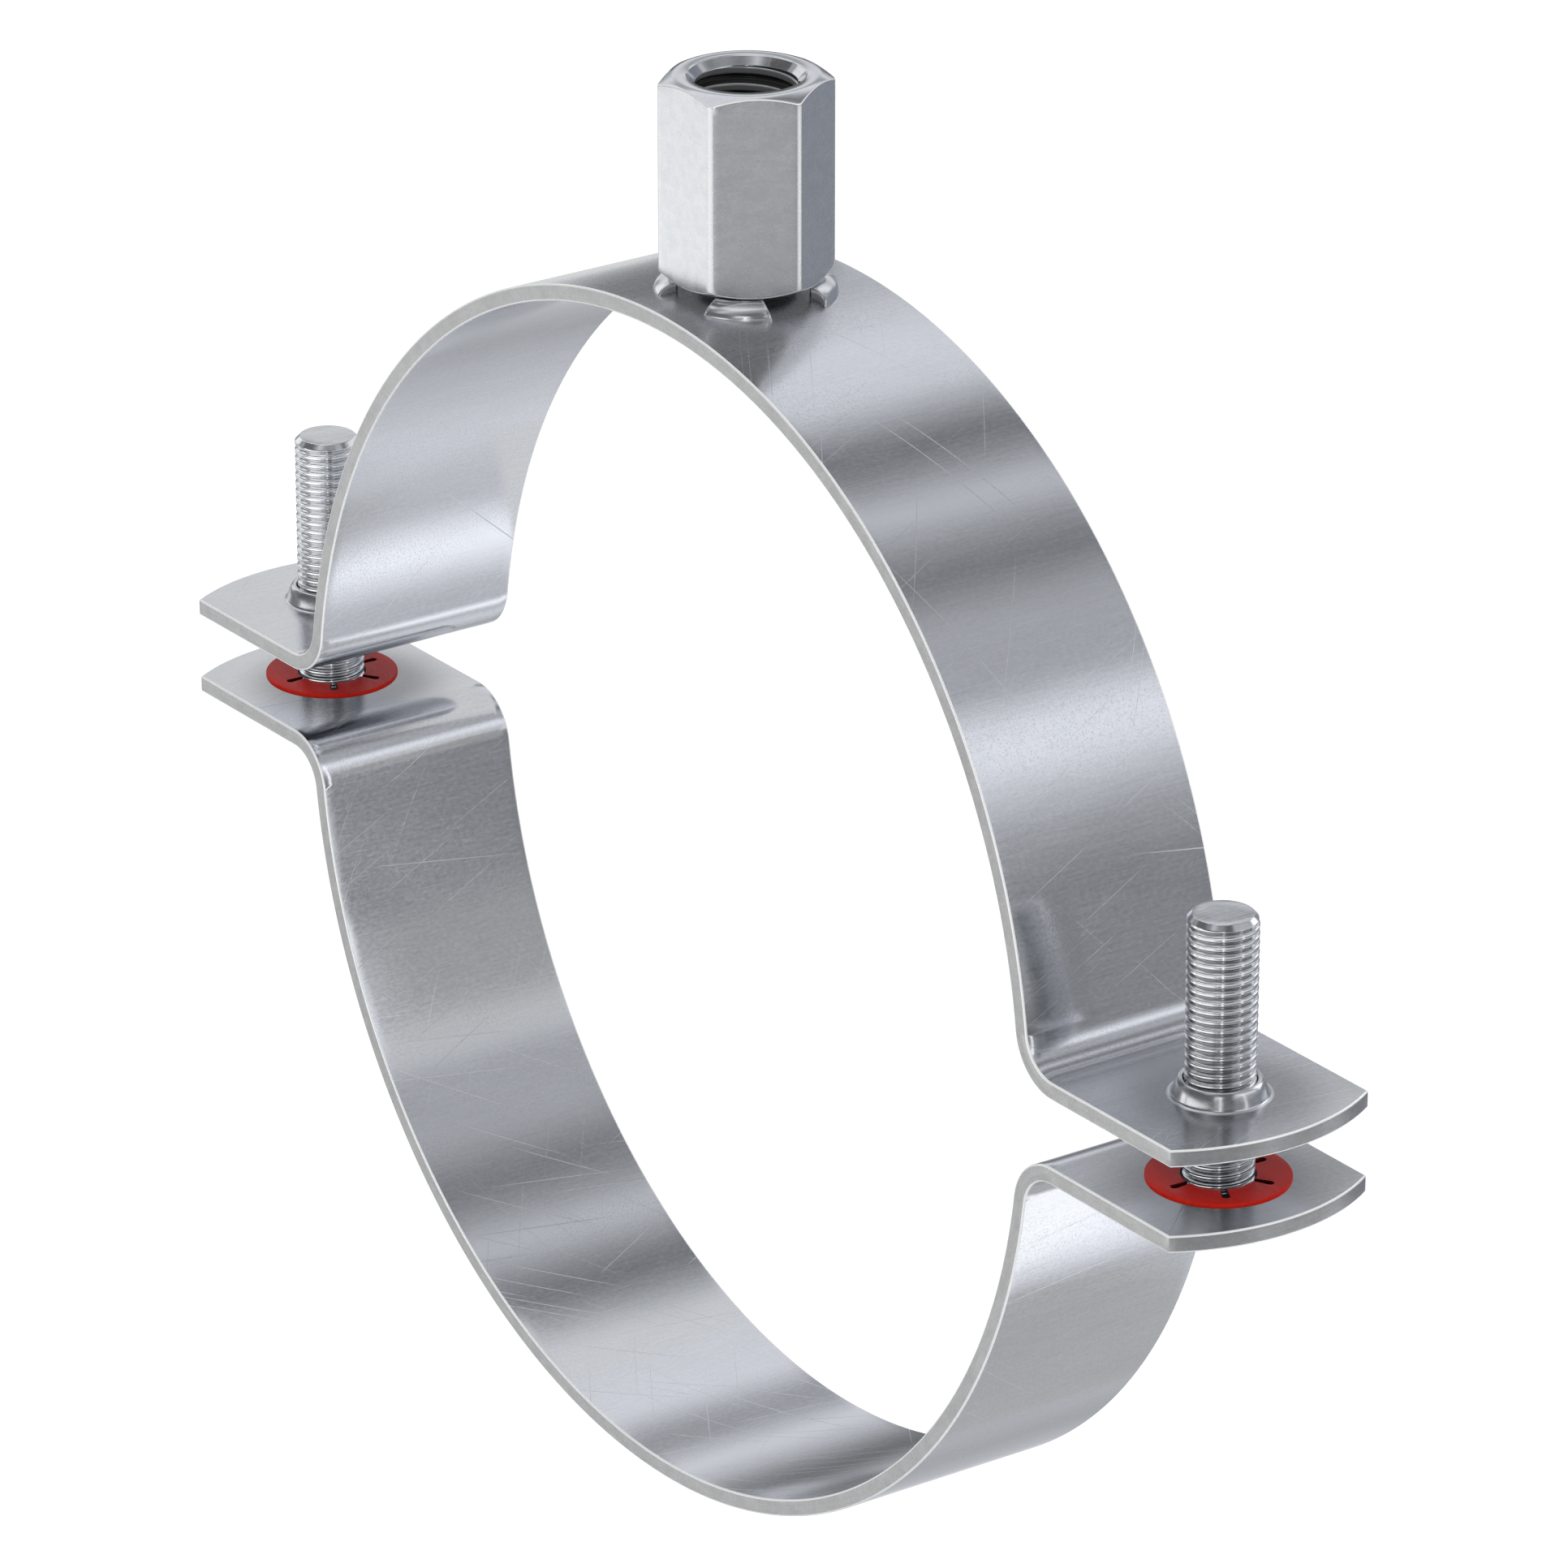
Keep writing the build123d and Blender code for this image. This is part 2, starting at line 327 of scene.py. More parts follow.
def strip_ear(shell, side, upper):
    """One ear beyond its bend: both faces round the screw's hole, its sheared edge, its hole or collar."""
    lift, start = lay_out(upper)
    outline = ear_outline()
    root = [(EAR_ROOT, y, -1.0, 0.0) for y in CROSSINGS[::-1][1:-1]]
    loop = np.concatenate([outline, np.array(root)])
    keep = np.ones(len(loop), bool)
    keep[1:] = np.abs(np.diff(loop[:, :2], axis=0)).sum(1) > 1e-9
    rim = loop[keep]
    swing = np.arctan2(rim[:, 1], rim[:, 0] - SCREW_AT)

    def put(x, y, height, flat_x, flat_y):
        points = np.stack([side * x, y, (EAR_FACE + height) * lift], -1)
        flats = np.stack([side * (EAR_RUN + flat_x) + start, flat_y, height], -1)
        return points, flats

    profile = COLLAR if upper else CLEARANCE
    radius, height, flat_radius = (np.array(column)[:, None] for column in zip(*profile))
    x, y = SCREW_AT + radius * np.cos(swing), radius * np.sin(swing)
    flat_x, flat_y = SCREW_AT + flat_radius * np.cos(swing), flat_radius * np.sin(swing)
    shell.grid(*put(x, y, height + 0 * x, flat_x, flat_y), closed=True)

    outward = [0.1, 0.3, 0.6, 1.0]
    for radius, height in ((profile[0][0], STRIP), (profile[-1][0], 0.0)):
        circles = np.linspace(radius, HOLE_RING, 6)
        ring = np.concatenate([circles, np.full(len(outward), HOLE_RING)])[:, None]
        share = np.concatenate([np.zeros(len(circles)), outward])[:, None]
        x = (SCREW_AT + ring * np.cos(swing)) * (1 - share) + rim[:, 0] * share
        y = ring * np.sin(swing) * (1 - share) + rim[:, 1] * share
        shell.grid(*put(x, y, height + 0 * x, x, y), closed=True)

    out, up = corner_arc()
    out = np.concatenate([out, out[::-1]]) * EDGE_BREAK
    height = np.concatenate([STRIP - EDGE_BREAK + EDGE_BREAK * up, EDGE_BREAK - EDGE_BREAK * up[::-1]])
    x = outline[:, 0] + out[:, None] * outline[:, 2]
    y = outline[:, 1] + out[:, None] * outline[:, 3]
    shell.grid(*put(x, y, height[:, None] + 0 * x, x, y))


def turned(shell, profile, swing):
    """Rows round an upright axis. The profile holds radius and height, for all columns or for each."""
    profile = np.asarray(profile, float)
    if profile.ndim == 2:
        profile = np.repeat(profile[:, None, :], len(swing), 1)
    radius, height = profile[..., 0], profile[..., 1]
    points = np.stack([radius * np.cos(swing), radius * np.sin(swing), height], -1)
    shell.grid(points, points, closed=True)


def thread_ridge(turns):
    """Depth of the screw's rolled thread: near 0 on its slightly hollow crest, 1 in its narrow groove."""
    off = np.abs(turns - np.round(turns)) * 2
    fall = np.clip((off - 0.36) / 0.56, 0, 1)
    return 0.1 * np.exp(-((off / 0.17) ** 2)) + fall**2 * (3 - 2 * fall)


def screw(name, side, body, node, finishes):
    """Low round-head screw with a rolled thread; finish 1 is for the tip's face, 2 for chamfer and head."""
    shell = Shell()
    swing = np.linspace(0, 2 * pi, SCREW_COLUMNS, endpoint=False)
    start, end = -EAR_BACK - SHANK_IN_HEAD, SCREW_TIP - 0.05
    height = np.arange(start, end, SCREW_PITCH / ROWS_PER_TURN)[:, None] + 0 * swing
    fade = np.clip((SCREW_TIP - height - THREAD_STOP) / THREAD_RUNOUT, 0, 1)
    ridge = THREAD_DEPTH * thread_ridge(height / SCREW_PITCH - swing / (2 * pi))
    cone = TIP_RADIUS + (SCREW_TIP - height) * TIP_SLOPE
    body_rows = np.stack([np.minimum(SCREW_RADIUS - ridge * fade, cone), height], -1)
    axis = np.stack([0 * swing, height[0]], -1)[None]
    face = [(TIP_RADIUS + 0.03, 0.035), (TIP_RADIUS, 0.015), (TIP_RADIUS - 0.05, 0.0), (1.4, 0.0), (0.0, 0.0)]
    face_rows = [np.stack([radius + 0 * swing, SCREW_TIP - drop + 0 * swing], -1) for radius, drop in face]
    turned(shell, np.concatenate([axis, body_rows, face_rows]), swing)
    mesh = shell.mesh(name)
    for part in mesh.polygons:
        if part.center.z > (SCREW_TIP - 0.01) * MM:
            part.material_index = 1
        elif part.center.z > (SCREW_TIP - PLAIN_TIP) * MM:
            part.material_index = 2
    join = bmesh.new()
    join.from_mesh(mesh)
    join.from_mesh(screw_head())
    for part in join.faces:
        part.smooth = True
        if part.calc_center_median().z < -EAR_BACK * MM:
            part.material_index = 2
    join.to_mesh(mesh)
    join.free()
    mesh.transform(Matrix.Translation((side * SCREW_AT * MM, 0, 0)))
    return placed(mesh, name, body, "zinc_plated_screw", node, finishes=finishes)


def screw_head():
    """The screw's head, with its slot and cross sunk into the driving face."""
    low = -EAR_BACK - HEAD_HEIGHT
    rim, edge = HEAD_RIM_ROUND, HEAD_FACE_ROUND
    profile = [(0, -EAR_BACK), (2.0, -EAR_BACK), (HEAD_RADIUS - rim, -EAR_BACK)]
    for a in np.linspace(0, pi / 2, 4)[1:]:
        profile.append((HEAD_RADIUS - rim + rim * sin(a), -EAR_BACK - rim + rim * cos(a)))
    for a in np.linspace(0, pi / 2, 9):
        profile.append((HEAD_RADIUS - edge + edge * cos(a), low + edge - edge * sin(a)))
    profile += [(3.0, low), (0, low)]
    shell = Shell()
    turned(shell, profile, np.linspace(0, 2 * pi, 96, endpoint=False))
    head = bpy.data.objects.new("head", shell.mesh("head"))
    cutter = bmesh.new()
    slot = (HEAD_RADIUS * 2.4, SLOT_WIDTH, 2 * SLOT_DEPTH)
    cross = (SLOT_WIDTH, CROSS_LENGTH, 2 * SLOT_DEPTH)
    for size in (slot, cross):
        made = bmesh.ops.create_cube(cutter, size=MM)
        bmesh.ops.scale(cutter, vec=size, verts=made["verts"])
        bmesh.ops.translate(cutter, vec=(0, 0, low * MM), verts=made["verts"])
    tool = bpy.data.meshes.new("driver_recess")
    cutter.to_mesh(tool)
    cutter.free()
    recess = bpy.data.objects.new("driver_recess", tool)
    for item in (head, recess):
        bpy.context.scene.collection.objects.link(item)
    cut = head.modifiers.new("recess", "BOOLEAN")
    cut.operation = "DIFFERENCE"
    cut.use_self = True
    cut.object = recess
    soften = head.modifiers.new("broken_edges", "BEVEL")
    soften.width = 0.06 * MM
    soften.segments = 2
    soften.angle_limit = radians(50)
    bpy.context.view_layer.update()
    made = bpy.data.meshes.new_from_object(head.evaluated_get(bpy.context.evaluated_depsgraph_get()))
    for item in (head, recess):
        bpy.data.objects.remove(item)
    return made


def washer(name, side, body, node, finishes):
    """Slit retaining washer: an outline with rounded edges, filled between rim and slit hole.

    Finish 1 is for its rim, painted a little lighter and more orange as a highlight, and 2 for the walls of
    its hole and slits, painted dark as shade.
    """
    curve = bpy.data.curves.new(name, "CURVE")
    curve.dimensions = "2D"
    curve.fill_mode = "BOTH"
    curve.bevel_depth = WASHER_EDGE * MM
    curve.bevel_resolution = 3
    curve.offset = -WASHER_EDGE * MM
    curve.extrude = (WASHER_THICKNESS / 2 - WASHER_EDGE) * MM
    around = np.linspace(0, 2 * pi, 120, endpoint=False)
    rim = [(WASHER_RADIUS * cos(a), WASHER_RADIUS * sin(a)) for a in around]
    for points in (rim, slit_hole()):
        spline = curve.splines.new("POLY")
        spline.points.add(len(points) - 1)
        for at, (x, y) in zip(spline.points, points):
            at.co = (x * MM, y * MM, 0, 1)
        spline.use_cyclic_u = True
    flat = bpy.data.objects.new(name, curve)
    bpy.context.scene.collection.objects.link(flat)
    bpy.context.view_layer.update()
    mesh = bpy.data.meshes.new_from_object(flat.evaluated_get(bpy.context.evaluated_depsgraph_get()))
    bpy.data.objects.remove(flat)
    mesh.materials.clear()
    weld = bmesh.new()
    weld.from_mesh(mesh)
    bmesh.ops.remove_doubles(weld, verts=weld.verts, dist=1e-7)
    bmesh.ops.recalc_face_normals(weld, faces=weld.faces)
    for face in weld.faces:
        face.smooth = True
        middle = face.calc_center_median()
        if abs(middle.z) < (WASHER_THICKNESS / 2 - 0.001) * MM:
            # The rim takes the painted highlight, and the walls of the hole and slits the painted shade
            face.material_index = 1 if middle.xy.length > (WASHER_RADIUS - 1) * MM else 2
    weld.to_mesh(mesh)
    weld.free()
    mesh.transform(Matrix.Translation((side * SCREW_AT * MM, 0, (WASHER_THICKNESS / 2 - EAR_FACE) * MM)))
    return placed(mesh, name, body, "red_washer", node, finishes=finishes)


def slit_hole():
    """The washer's inner outline: six slits run outward from its hole and widen a little."""
    points = []
    mouth = asin(SLIT_MOUTH / 2 / WASHER_HOLE)
    middle = pi / 6 * 0.98
    bulb = SLIT_WIDTH / 2
    for k in range(6):
        way = radians(30 + 60 * k)
        for a in np.linspace(-middle, -mouth, 7)[1:]:
            points.append((WASHER_HOLE * cos(way + a), WASHER_HOLE * sin(way + a)))
        for a in np.linspace(-pi / 2, pi / 2, 9):
            along, aside = SLIT_REACH - bulb + bulb * cos(a), bulb * sin(a)
            points.append((along * cos(way) - aside * sin(way), along * sin(way) + aside * cos(way)))
        for a in np.linspace(mouth, middle, 7)[:-1]:
            points.append((WASHER_HOLE * cos(way + a), WASHER_HOLE * sin(way + a)))
    return points


def hexagon():
    """The nut's outline with flattened corners, as points in turn round its axis."""
    half_side = NUT_FLAT * tan(pi / 6)
    end = half_side - NUT_CORNER_CUT

    def at(way, aside):
        return np.array([NUT_FLAT * cos(way) - aside * sin(way), NUT_FLAT * sin(way) + aside * cos(way)])

    points = []
    for k in range(6):
        way = radians(NUT_TURN + 30 + 60 * k)
        points += [at(way, aside) for aside in (end - NUT_CORNER_SOFT) * np.linspace(-1, 1, 17)]
        near, far = at(way, end), at(way + pi / 3, -end)
        step = NUT_CORNER_SOFT / np.linalg.norm(far - near)
        points += [near + (far - near) * step, far + (near - far) * step]
    return np.array(points)


def inner_thread(turns):
    """Depth of the nut's thread, from 0 on its flat crest to 1 at its root."""
    off = np.abs(turns - np.round(turns)) * 2
    return np.clip((off - 0.28) / 0.62, 0, 1)


def connection_nut(finishes):
    """Long hexagon nut with chamfered ends, countersunk mouths and its thread.

    Finish 1 is for its thread, with its painted highlights and shade, 2 for its turned ends, 3 for the
    painted highlight lines round its flats, 4 for the painted shade on its underside and 5 for its flattened
    corners.
    """
    outline = hexagon()
    swing = np.arctan2(outline[:, 1], outline[:, 0])
    reach = np.hypot(outline[:, 0], outline[:, 1])
    drop = (reach - NUT_FACE) * NUT_SLOPE

    def row(radius, height):
        return np.stack([radius + 0 * swing, height + 0 * swing], -1)

    def end_rows(end, way):
        """From the mouth over the annulus and the chamfer onto the flats."""
        rows = [
            row(NUT_MOUTH, end + way * 0.05),
            row(NUT_MOUTH + 0.015, end + way * 0.02),
            row(NUT_MOUTH + 0.06, end),
            row(NUT_FACE - 0.25, end),
            row(NUT_FACE - 0.08, end + way * 0.015),
            row(NUT_FACE + 0.1, end + way * 0.085),
        ]
        before = reach - NUT_EDGE_SOFT * cos(pi / 6), drop - NUT_EDGE_SOFT * sin(pi / 6)
        for t in np.linspace(0, 1, 6):
            across = (1 - t) ** 2 * before[0] + (1 - (1 - t) ** 2) * reach
            down = (1 - t) ** 2 * before[1] + 2 * t * (1 - t) * drop + t**2 * (drop + NUT_EDGE_SOFT)
            rows.append(row(across, end + way * down))
        return rows

    middle = [row(reach, z) for z in np.linspace(NUT_TOP - 1.5, NUT_BASE + 1.5, 5)]
    height = np.linspace(NUT_BASE + 0.05, NUT_TOP - 0.05, 300)[:, None] + 0 * swing
    depth = np.minimum(height - NUT_BASE, NUT_TOP - height)
    sink = NUT_MOUTH - NUT_BORE
    ridge = inner_thread(height / NUT_PITCH - swing / (2 * pi) - NUT_THREAD_START)
    thread = NUT_BORE + NUT_THREAD_DEPTH * ridge * np.clip((depth - sink) / 0.3, 0, 1)
    bore = np.stack([np.maximum(thread, NUT_MOUTH - depth + 0.02), height], -1)
    shell = Shell()
    upper, lower = end_rows(NUT_TOP, -1), end_rows(NUT_BASE, 1)
    turned(shell, np.concatenate([upper, middle, lower[::-1], bore, upper[:1]]), swing)
    mesh = shell.mesh("connection_nut")
    corner = NUT_CORNER_CUT * sqrt(3) * MM
    for part in mesh.polygons:
        radius, height = part.center.xy.length / MM, part.center.z / MM
        depth = min(height - NUT_BASE, NUT_TOP - height)
        # Painted light: highlight lines on the narrow faces round the flats and on the rounded chamfer edges,
        # shade on the underside
        if radius < NUT_MOUTH + 0.1 and sink < depth:
            part.material_index = 1
        elif height < NUT_BASE + 0.3 and radius < NUT_FACE:
            part.material_index = 4
        elif shortest_side(mesh, part) < 0.09 * MM and NUT_BASE + 1 < height < NUT_TOP - 1:
            part.material_index = 3
        elif abs(part.normal.z) > 0.02:
            part.material_index = 3 if 0.15 < abs(part.normal.z) < 0.7 and radius > NUT_FACE else 2
        elif shortest_side(mesh, part) < corner:
            part.material_index = 5
    return placed(mesh, "nut", "upper_half", "zinc_plated_nut", "connection_nut", finishes=finishes)


def shortest_side(mesh, face):
    """Length of a face's shortest side."""
    return min((mesh.vertices[a].co - mesh.vertices[b].co).length for a, b in face.edge_keys)


def weld_foot(name, angle, finishes):
    """Rounded foot of weld metal from under the nut down onto the ring, with a raised lip at each end.

    Finish 1 is for its inner side, painted dark as shade under the nut.
    """
    shell = Shell()
    end_columns = np.array([0.9, 0.94, 0.955, 0.967, 0.98, 0.992, 1])
    across = np.concatenate([-end_columns[::-1], np.linspace(-0.85, 0.85, 17), end_columns])
    lip = 0.08 * np.exp(-(((np.abs(across) - 0.965) / 0.018) ** 2))
    lip = lip - 0.12 * (np.abs(across) > 0.995) - 0.12 * across**4
    profile = [(FOOT_ROOT, 0.0, 0.86), (FOOT_SHOULDER, 0.0, 0.86)]
    for t in np.linspace(0, pi / 2, 15)[1:]:
        curl = 1 - cos(t)
        profile.append((FOOT_SHOULDER + FOOT_BULGE * sin(t), FOOT_FALL * curl**0.9, 0.86 + 0.17 * curl**0.8))
    rows = []
    for radius, fall, share in profile:
        spread = np.radians(angle + across * share * FOOT_SPREAD / 2)
        bulge = radius + lip * (fall > 0)
        height = NUT_BASE - fall + 0 * across
        rows.append(np.stack([bulge * np.cos(spread), bulge * np.sin(spread), height], -1))
    top = np.array(rows)

    def on_ring(points):
        sunk = points.copy()
        sunk[..., 2] = np.sqrt((BORE + STRIP) ** 2 - sunk[..., 0] ** 2) - 0.1
        return sunk

    top = np.concatenate([top, on_ring(top[-1:])])
    under = on_ring(top)
    shell.grid(top, top)
    shell.grid(under, under)
    for column in (0, -1):
        side = np.stack([top[:, column], under[:, column]])
        shell.grid(side, side)
    root = np.stack([top[0], under[0]])
    # The inner side is painted dark as shade under the nut
    shell.grid(root, root, finish=1)
    return placed(shell.mesh(name), name + "_bead", "upper_half", "weld_metal", name, finishes=finishes)


# Node groups for the metal's surface

FLOAT = "NodeSocketFloat"
VECTOR = "NodeSocketVector"

# Each kind of scratch: its turn on the flat metal in radians, its length and its width in metres
SCRATCHES = [
    (0.55, 0.150, 0.0008), (1.15, 0.100, 0.0006), (-0.4, 0.180, 0.0009), (-0.75, 0.110, 0.0006),
    (2.15, 0.140, 0.0008), (1.72, 0.170, 0.0011), (0.85, 0.200, 0.0010),
]

# Mottling's size on the flat metal, and what each mark adds to roughness, brightness and relief
MOTTLE_SIZES = (0.0003, 0.0005, 0.0003)
STREAK_DULLNESS = 0.04
MOTTLE_DULLNESS = 0.03
SCRATCH_DULLNESS = 0.35
GRIT_DULLNESS = 0.16
SCRATCH_LIGHT = 0.5
SCRATCH_DEPTH = 4.0
GRIT_HEIGHT = 0.5
RELIEF_UNIT = 0.0000012

# The washers' fibre: how far a fold goes each way, its turn, the size of a patch, and its relief
FIBRE_SIZES = (0.0009, 0.0003, 0.0005)
FIBRE_TURN = 0.6
FIBRE_PATCH = (0.006, 0.006, 0.006)
FIBRE_RELIEF = 0.000014

# Stretches over which something begins or ends, in metres: the weld's heat from the top of the ring,
# and from the end of a bend the gritty plating before it and the duller plating of the ear
HEATED = (0.010, 0.017)
HEAT_DULLNESS = 0.16
GRITTY_FROM = (-0.042, -0.030)
GRITTY_TO = (-0.014, -0.006)
GRITTY_SHARE = 0.12
EAR_STARTS = (-0.001, 0.003)


def new_group(name, inputs, outputs):
    """An empty shader node group with named inputs and outputs."""
    tree = bpy.data.node_groups.new(name, "ShaderNodeTree")
    for label, kind, value in inputs:
        made = tree.interface.new_socket(name=label, in_out="INPUT", socket_type=kind)
        if value is not None:
            made.default_value = value
    for label, kind in outputs:
        tree.interface.new_socket(name=label, in_out="OUTPUT", socket_type=kind)
    return tree, tree.nodes.new("NodeGroupInput"), tree.nodes.new("NodeGroupOutput")


def wire(tree, kind, settings=None, **sockets):
    """Adds a node; sockets are values, or outputs of other nodes, by socket name or number."""
    node = tree.nodes.new(kind)
    for key, value in (settings or {}).items():
        setattr(node, key, value)
    for key, value in sockets.items():
        socket = node.inputs[int(key[1:])] if key[0] == "_" else node.inputs[key.replace("_", " ")]
        if isinstance(value, bpy.types.NodeSocket):
            tree.links.new(value, socket)
        else:
            socket.default_value = value
    return node


def sums(tree, operation, *terms, clamp=False):
    """One Math node's result."""
    sockets = {f"_{i}": term for i, term in enumerate(terms)}
    return wire(tree, "ShaderNodeMath", {"operation": operation, "use_clamp": clamp}, **sockets).outputs[0]


def vectors(tree, operation, first, second):
    """One Vector Math node's result."""
    return wire(tree, "ShaderNodeVectorMath", {"operation": operation}, _0=first, _1=second).outputs[0]


def span(tree, value, low, high, to_low=0.0, to_high=1.0):
    """A value taken from one range to another, held inside it."""
    node = wire(
        tree, "ShaderNodeMapRange", {"interpolation_type": "SMOOTHSTEP"},
        _0=value, _1=low, _2=high, _3=to_low, _4=to_high,
    )
    return node.outputs[0]


def stretched(tree, vector, sizes, turn=0.0, shift=(0, 0, 0)):
    """Coordinates divided by the given sizes in metres, after a turn in the plane of the metal."""
    turned_in = wire(
        tree, "ShaderNodeMapping", {"vector_type": "POINT"},
        Vector=vector, Rotation=(0, 0, turn), Location=shift,
    )
    scale = [1 / s for s in sizes]
    return wire(tree, "ShaderNodeMapping", Vector=turned_in.outputs[0], Scale=scale).outputs[0]


def noise(tree, vector, detail=2.0, rough=0.5, warp=0.0):
    """Soft noise about one unit across."""
    node = wire(
        tree, "ShaderNodeTexNoise", Vector=vector, Scale=1.0, Detail=detail, Roughness=rough, Distortion=warp,
    )
    return node.outputs["Fac"]


def along_strip(tree, run):
    """A run along either half ring's flat metal, from the ring's middle."""
    half = FLAT_APART / 2 * MM
    return sums(tree, "WRAP", run, half, -half)


def rolled_grain():
    """Fine streaks, as rolling and brushing leave them. Sizes is how far a streak goes each way."""
    tree, start, end = new_group(
        "rolled_grain",
        [("Vector", VECTOR, None), ("Sizes", VECTOR, (0.00012, 0.004, 0.001))],
        [("Grain", FLOAT)],
    )
    fine = vectors(tree, "DIVIDE", start.outputs["Vector"], start.outputs["Sizes"])
    coarse = vectors(tree, "MULTIPLY", fine, (0.31, 0.4, 0.31))
    both = sums(tree, "MULTIPLY", noise(tree, coarse), 0.32)
    both = sums(tree, "MULTIPLY_ADD", noise(tree, fine, 3.0, 0.6), 0.68, both)
    tree.links.new(span(tree, both, 0.3, 0.7), end.inputs[0])
    return tree


def hairlines():
    """Long straight scratches lying several ways, thin and few."""
    tree, start, end = new_group(
        "hairlines", [("Vector", VECTOR, None), ("Amount", FLOAT, 0.5)], [("Scratches", FLOAT)],
    )
    few = sums(tree, "SUBTRACT", 1.0, start.outputs["Amount"])
    total = None
    for turn, length, width in SCRATCHES:
        cells = stretched(tree, start.outputs["Vector"], (length, width, 0.02), turn, (turn, 0.3 * turn, 0))
        web = wire(tree, "ShaderNodeTexVoronoi", {"voronoi_dimensions": "2D"}, Vector=cells, Scale=1.0)
        chosen = wire(tree, "ShaderNodeSeparateColor", _0=web.outputs["Color"]).outputs[0]
        kept = wire(tree, "ShaderNodeMapRange", _0=chosen, _1=few, _2=1.0, _3=0.0, _4=1.0).outputs[0]
        line = span(tree, web.outputs["Distance"], 0.015, 0.055, 1.0, 0.0)
        mark = sums(tree, "MULTIPLY", line, sums(tree, "POWER", kept, 1.8))
        total = mark if total is None else sums(tree, "MAXIMUM", total, mark)
    tree.links.new(total, end.inputs[0])
    return tree


def zinc_cloud():
    """Faint patches of the plating, drawn out along its grain, and the fine grit on some of them."""
    tree, start, end = new_group(
        "zinc_cloud",
        [("Vector", VECTOR, None), ("Size", FLOAT, 0.006), ("Grit", FLOAT, 0.00018), ("Worn", FLOAT, 0.0)],
        [("Cloud", FLOAT), ("Speckle", FLOAT)],
    )
    size, grit_size = start.outputs["Size"], start.outputs["Grit"]
    longer = sums(tree, "MULTIPLY", size, 3.0)
    patch = wire(tree, "ShaderNodeCombineXYZ", _0=size, _1=longer, _2=size).outputs[0]
    broad = vectors(tree, "DIVIDE", start.outputs["Vector"], patch)
    cloud = noise(tree, broad, 5.0, 0.6, 0.2)
    speck = wire(tree, "ShaderNodeCombineXYZ", _0=grit_size, _1=grit_size, _2=grit_size).outputs[0]
    grit = noise(tree, vectors(tree, "DIVIDE", start.outputs["Vector"], speck), 3.0, 0.6)
    where = sums(tree, "ADD", noise(tree, broad, 2.0), start.outputs["Worn"])
    speckle = sums(tree, "MULTIPLY", span(tree, grit, 0.46, 0.72), span(tree, where, 0.42, 0.66))
    tree.links.new(span(tree, cloud, 0.3, 0.7), end.inputs[0])
    tree.links.new(speckle, end.inputs[1])
    return tree


def painted_round_shade():
    """Painted shade: a factor that runs from one value to another with the distance from a screw hole's or
    piece's axis.
    """
    tree, start, end = new_group(
        "painted_round_shade",
        [
            ("Vector", VECTOR, None), ("Centre", FLOAT, 0.0), ("Near", FLOAT, 0.0), ("Far", FLOAT, 0.01),
            ("At Near", FLOAT, 0.5), ("At Far", FLOAT, 1.0),
        ],
        [("Shade", FLOAT)],
    )
    parts = wire(tree, "ShaderNodeSeparateXYZ", Vector=start.outputs["Vector"])
    off = sums(tree, "SUBTRACT", along_strip(tree, parts.outputs[0]), start.outputs["Centre"])
    flat = wire(tree, "ShaderNodeCombineXYZ", _0=off, _1=parts.outputs[1])
    radius = wire(tree, "ShaderNodeVectorMath", {"operation": "LENGTH"}, _0=flat.outputs[0]).outputs["Value"]
    limits = [start.outputs[label] for label in ("Near", "Far", "At Near", "At Far")]
    tree.links.new(span(tree, radius, *limits), end.inputs[0])
    return tree


def painted_thread_light():
    """Painted light on the nut's thread: grey crests with painted highlights on their edges, and painted
    shade in the grooves with a faint line.

    Its limits are shares of half a pitch, from the middle of a crest.
    """
    tree, start, end = new_group("painted_thread_light", [("Vector", VECTOR, None)], [("Shade", FLOAT)])
    parts = wire(tree, "ShaderNodeSeparateXYZ", Vector=start.outputs["Vector"])
    swing = sums(tree, "DIVIDE", sums(tree, "ARCTAN2", parts.outputs[1], parts.outputs[0]), 2 * pi)
    turns = sums(tree, "SUBTRACT", sums(tree, "DIVIDE", parts.outputs[2], NUT_PITCH * MM), swing)
    turns = sums(tree, "WRAP", sums(tree, "SUBTRACT", turns, NUT_THREAD_START), 0.5, -0.5)
    off = sums(tree, "MULTIPLY", sums(tree, "ABSOLUTE", turns), 2.0)
    crest = span(tree, off, 0.36, 0.44, 0.24, 0.06)
    edge = sums(tree, "MULTIPLY", span(tree, off, 0.30, 0.35), span(tree, off, 0.39, 0.45, 0.75, 0.0))
    root = sums(tree, "MULTIPLY", span(tree, off, 0.70, 0.77), span(tree, off, 0.79, 0.88, 0.16, 0.0))
    shade = sums(tree, "MAXIMUM", crest, sums(tree, "MAXIMUM", edge, root))
    tree.links.new(shade, end.inputs[0])
    return tree


def use(tree, group, **sockets):
    """Places a node group in a material."""
    return wire(tree, "ShaderNodeGroup", {"node_tree": group}, **sockets)


def blank_material(name):
    """A new material, its node tree and its shader."""
    made = bpy.data.materials.new(name)
    made.use_nodes = True
    tree = made.node_tree
    return made, tree, tree.nodes["Principled BSDF"]


def colour_between(tree, share, dark, light):
    """A colour part of the way from dark to light."""
    node = wire(tree, "ShaderNodeMix", {"data_type": "RGBA"})
    tree.links.new(share, node.inputs[0])
    node.inputs[6].default_value = (*dark, 1)
    node.inputs[7].default_value = (*light, 1)
    return node.outputs[2]


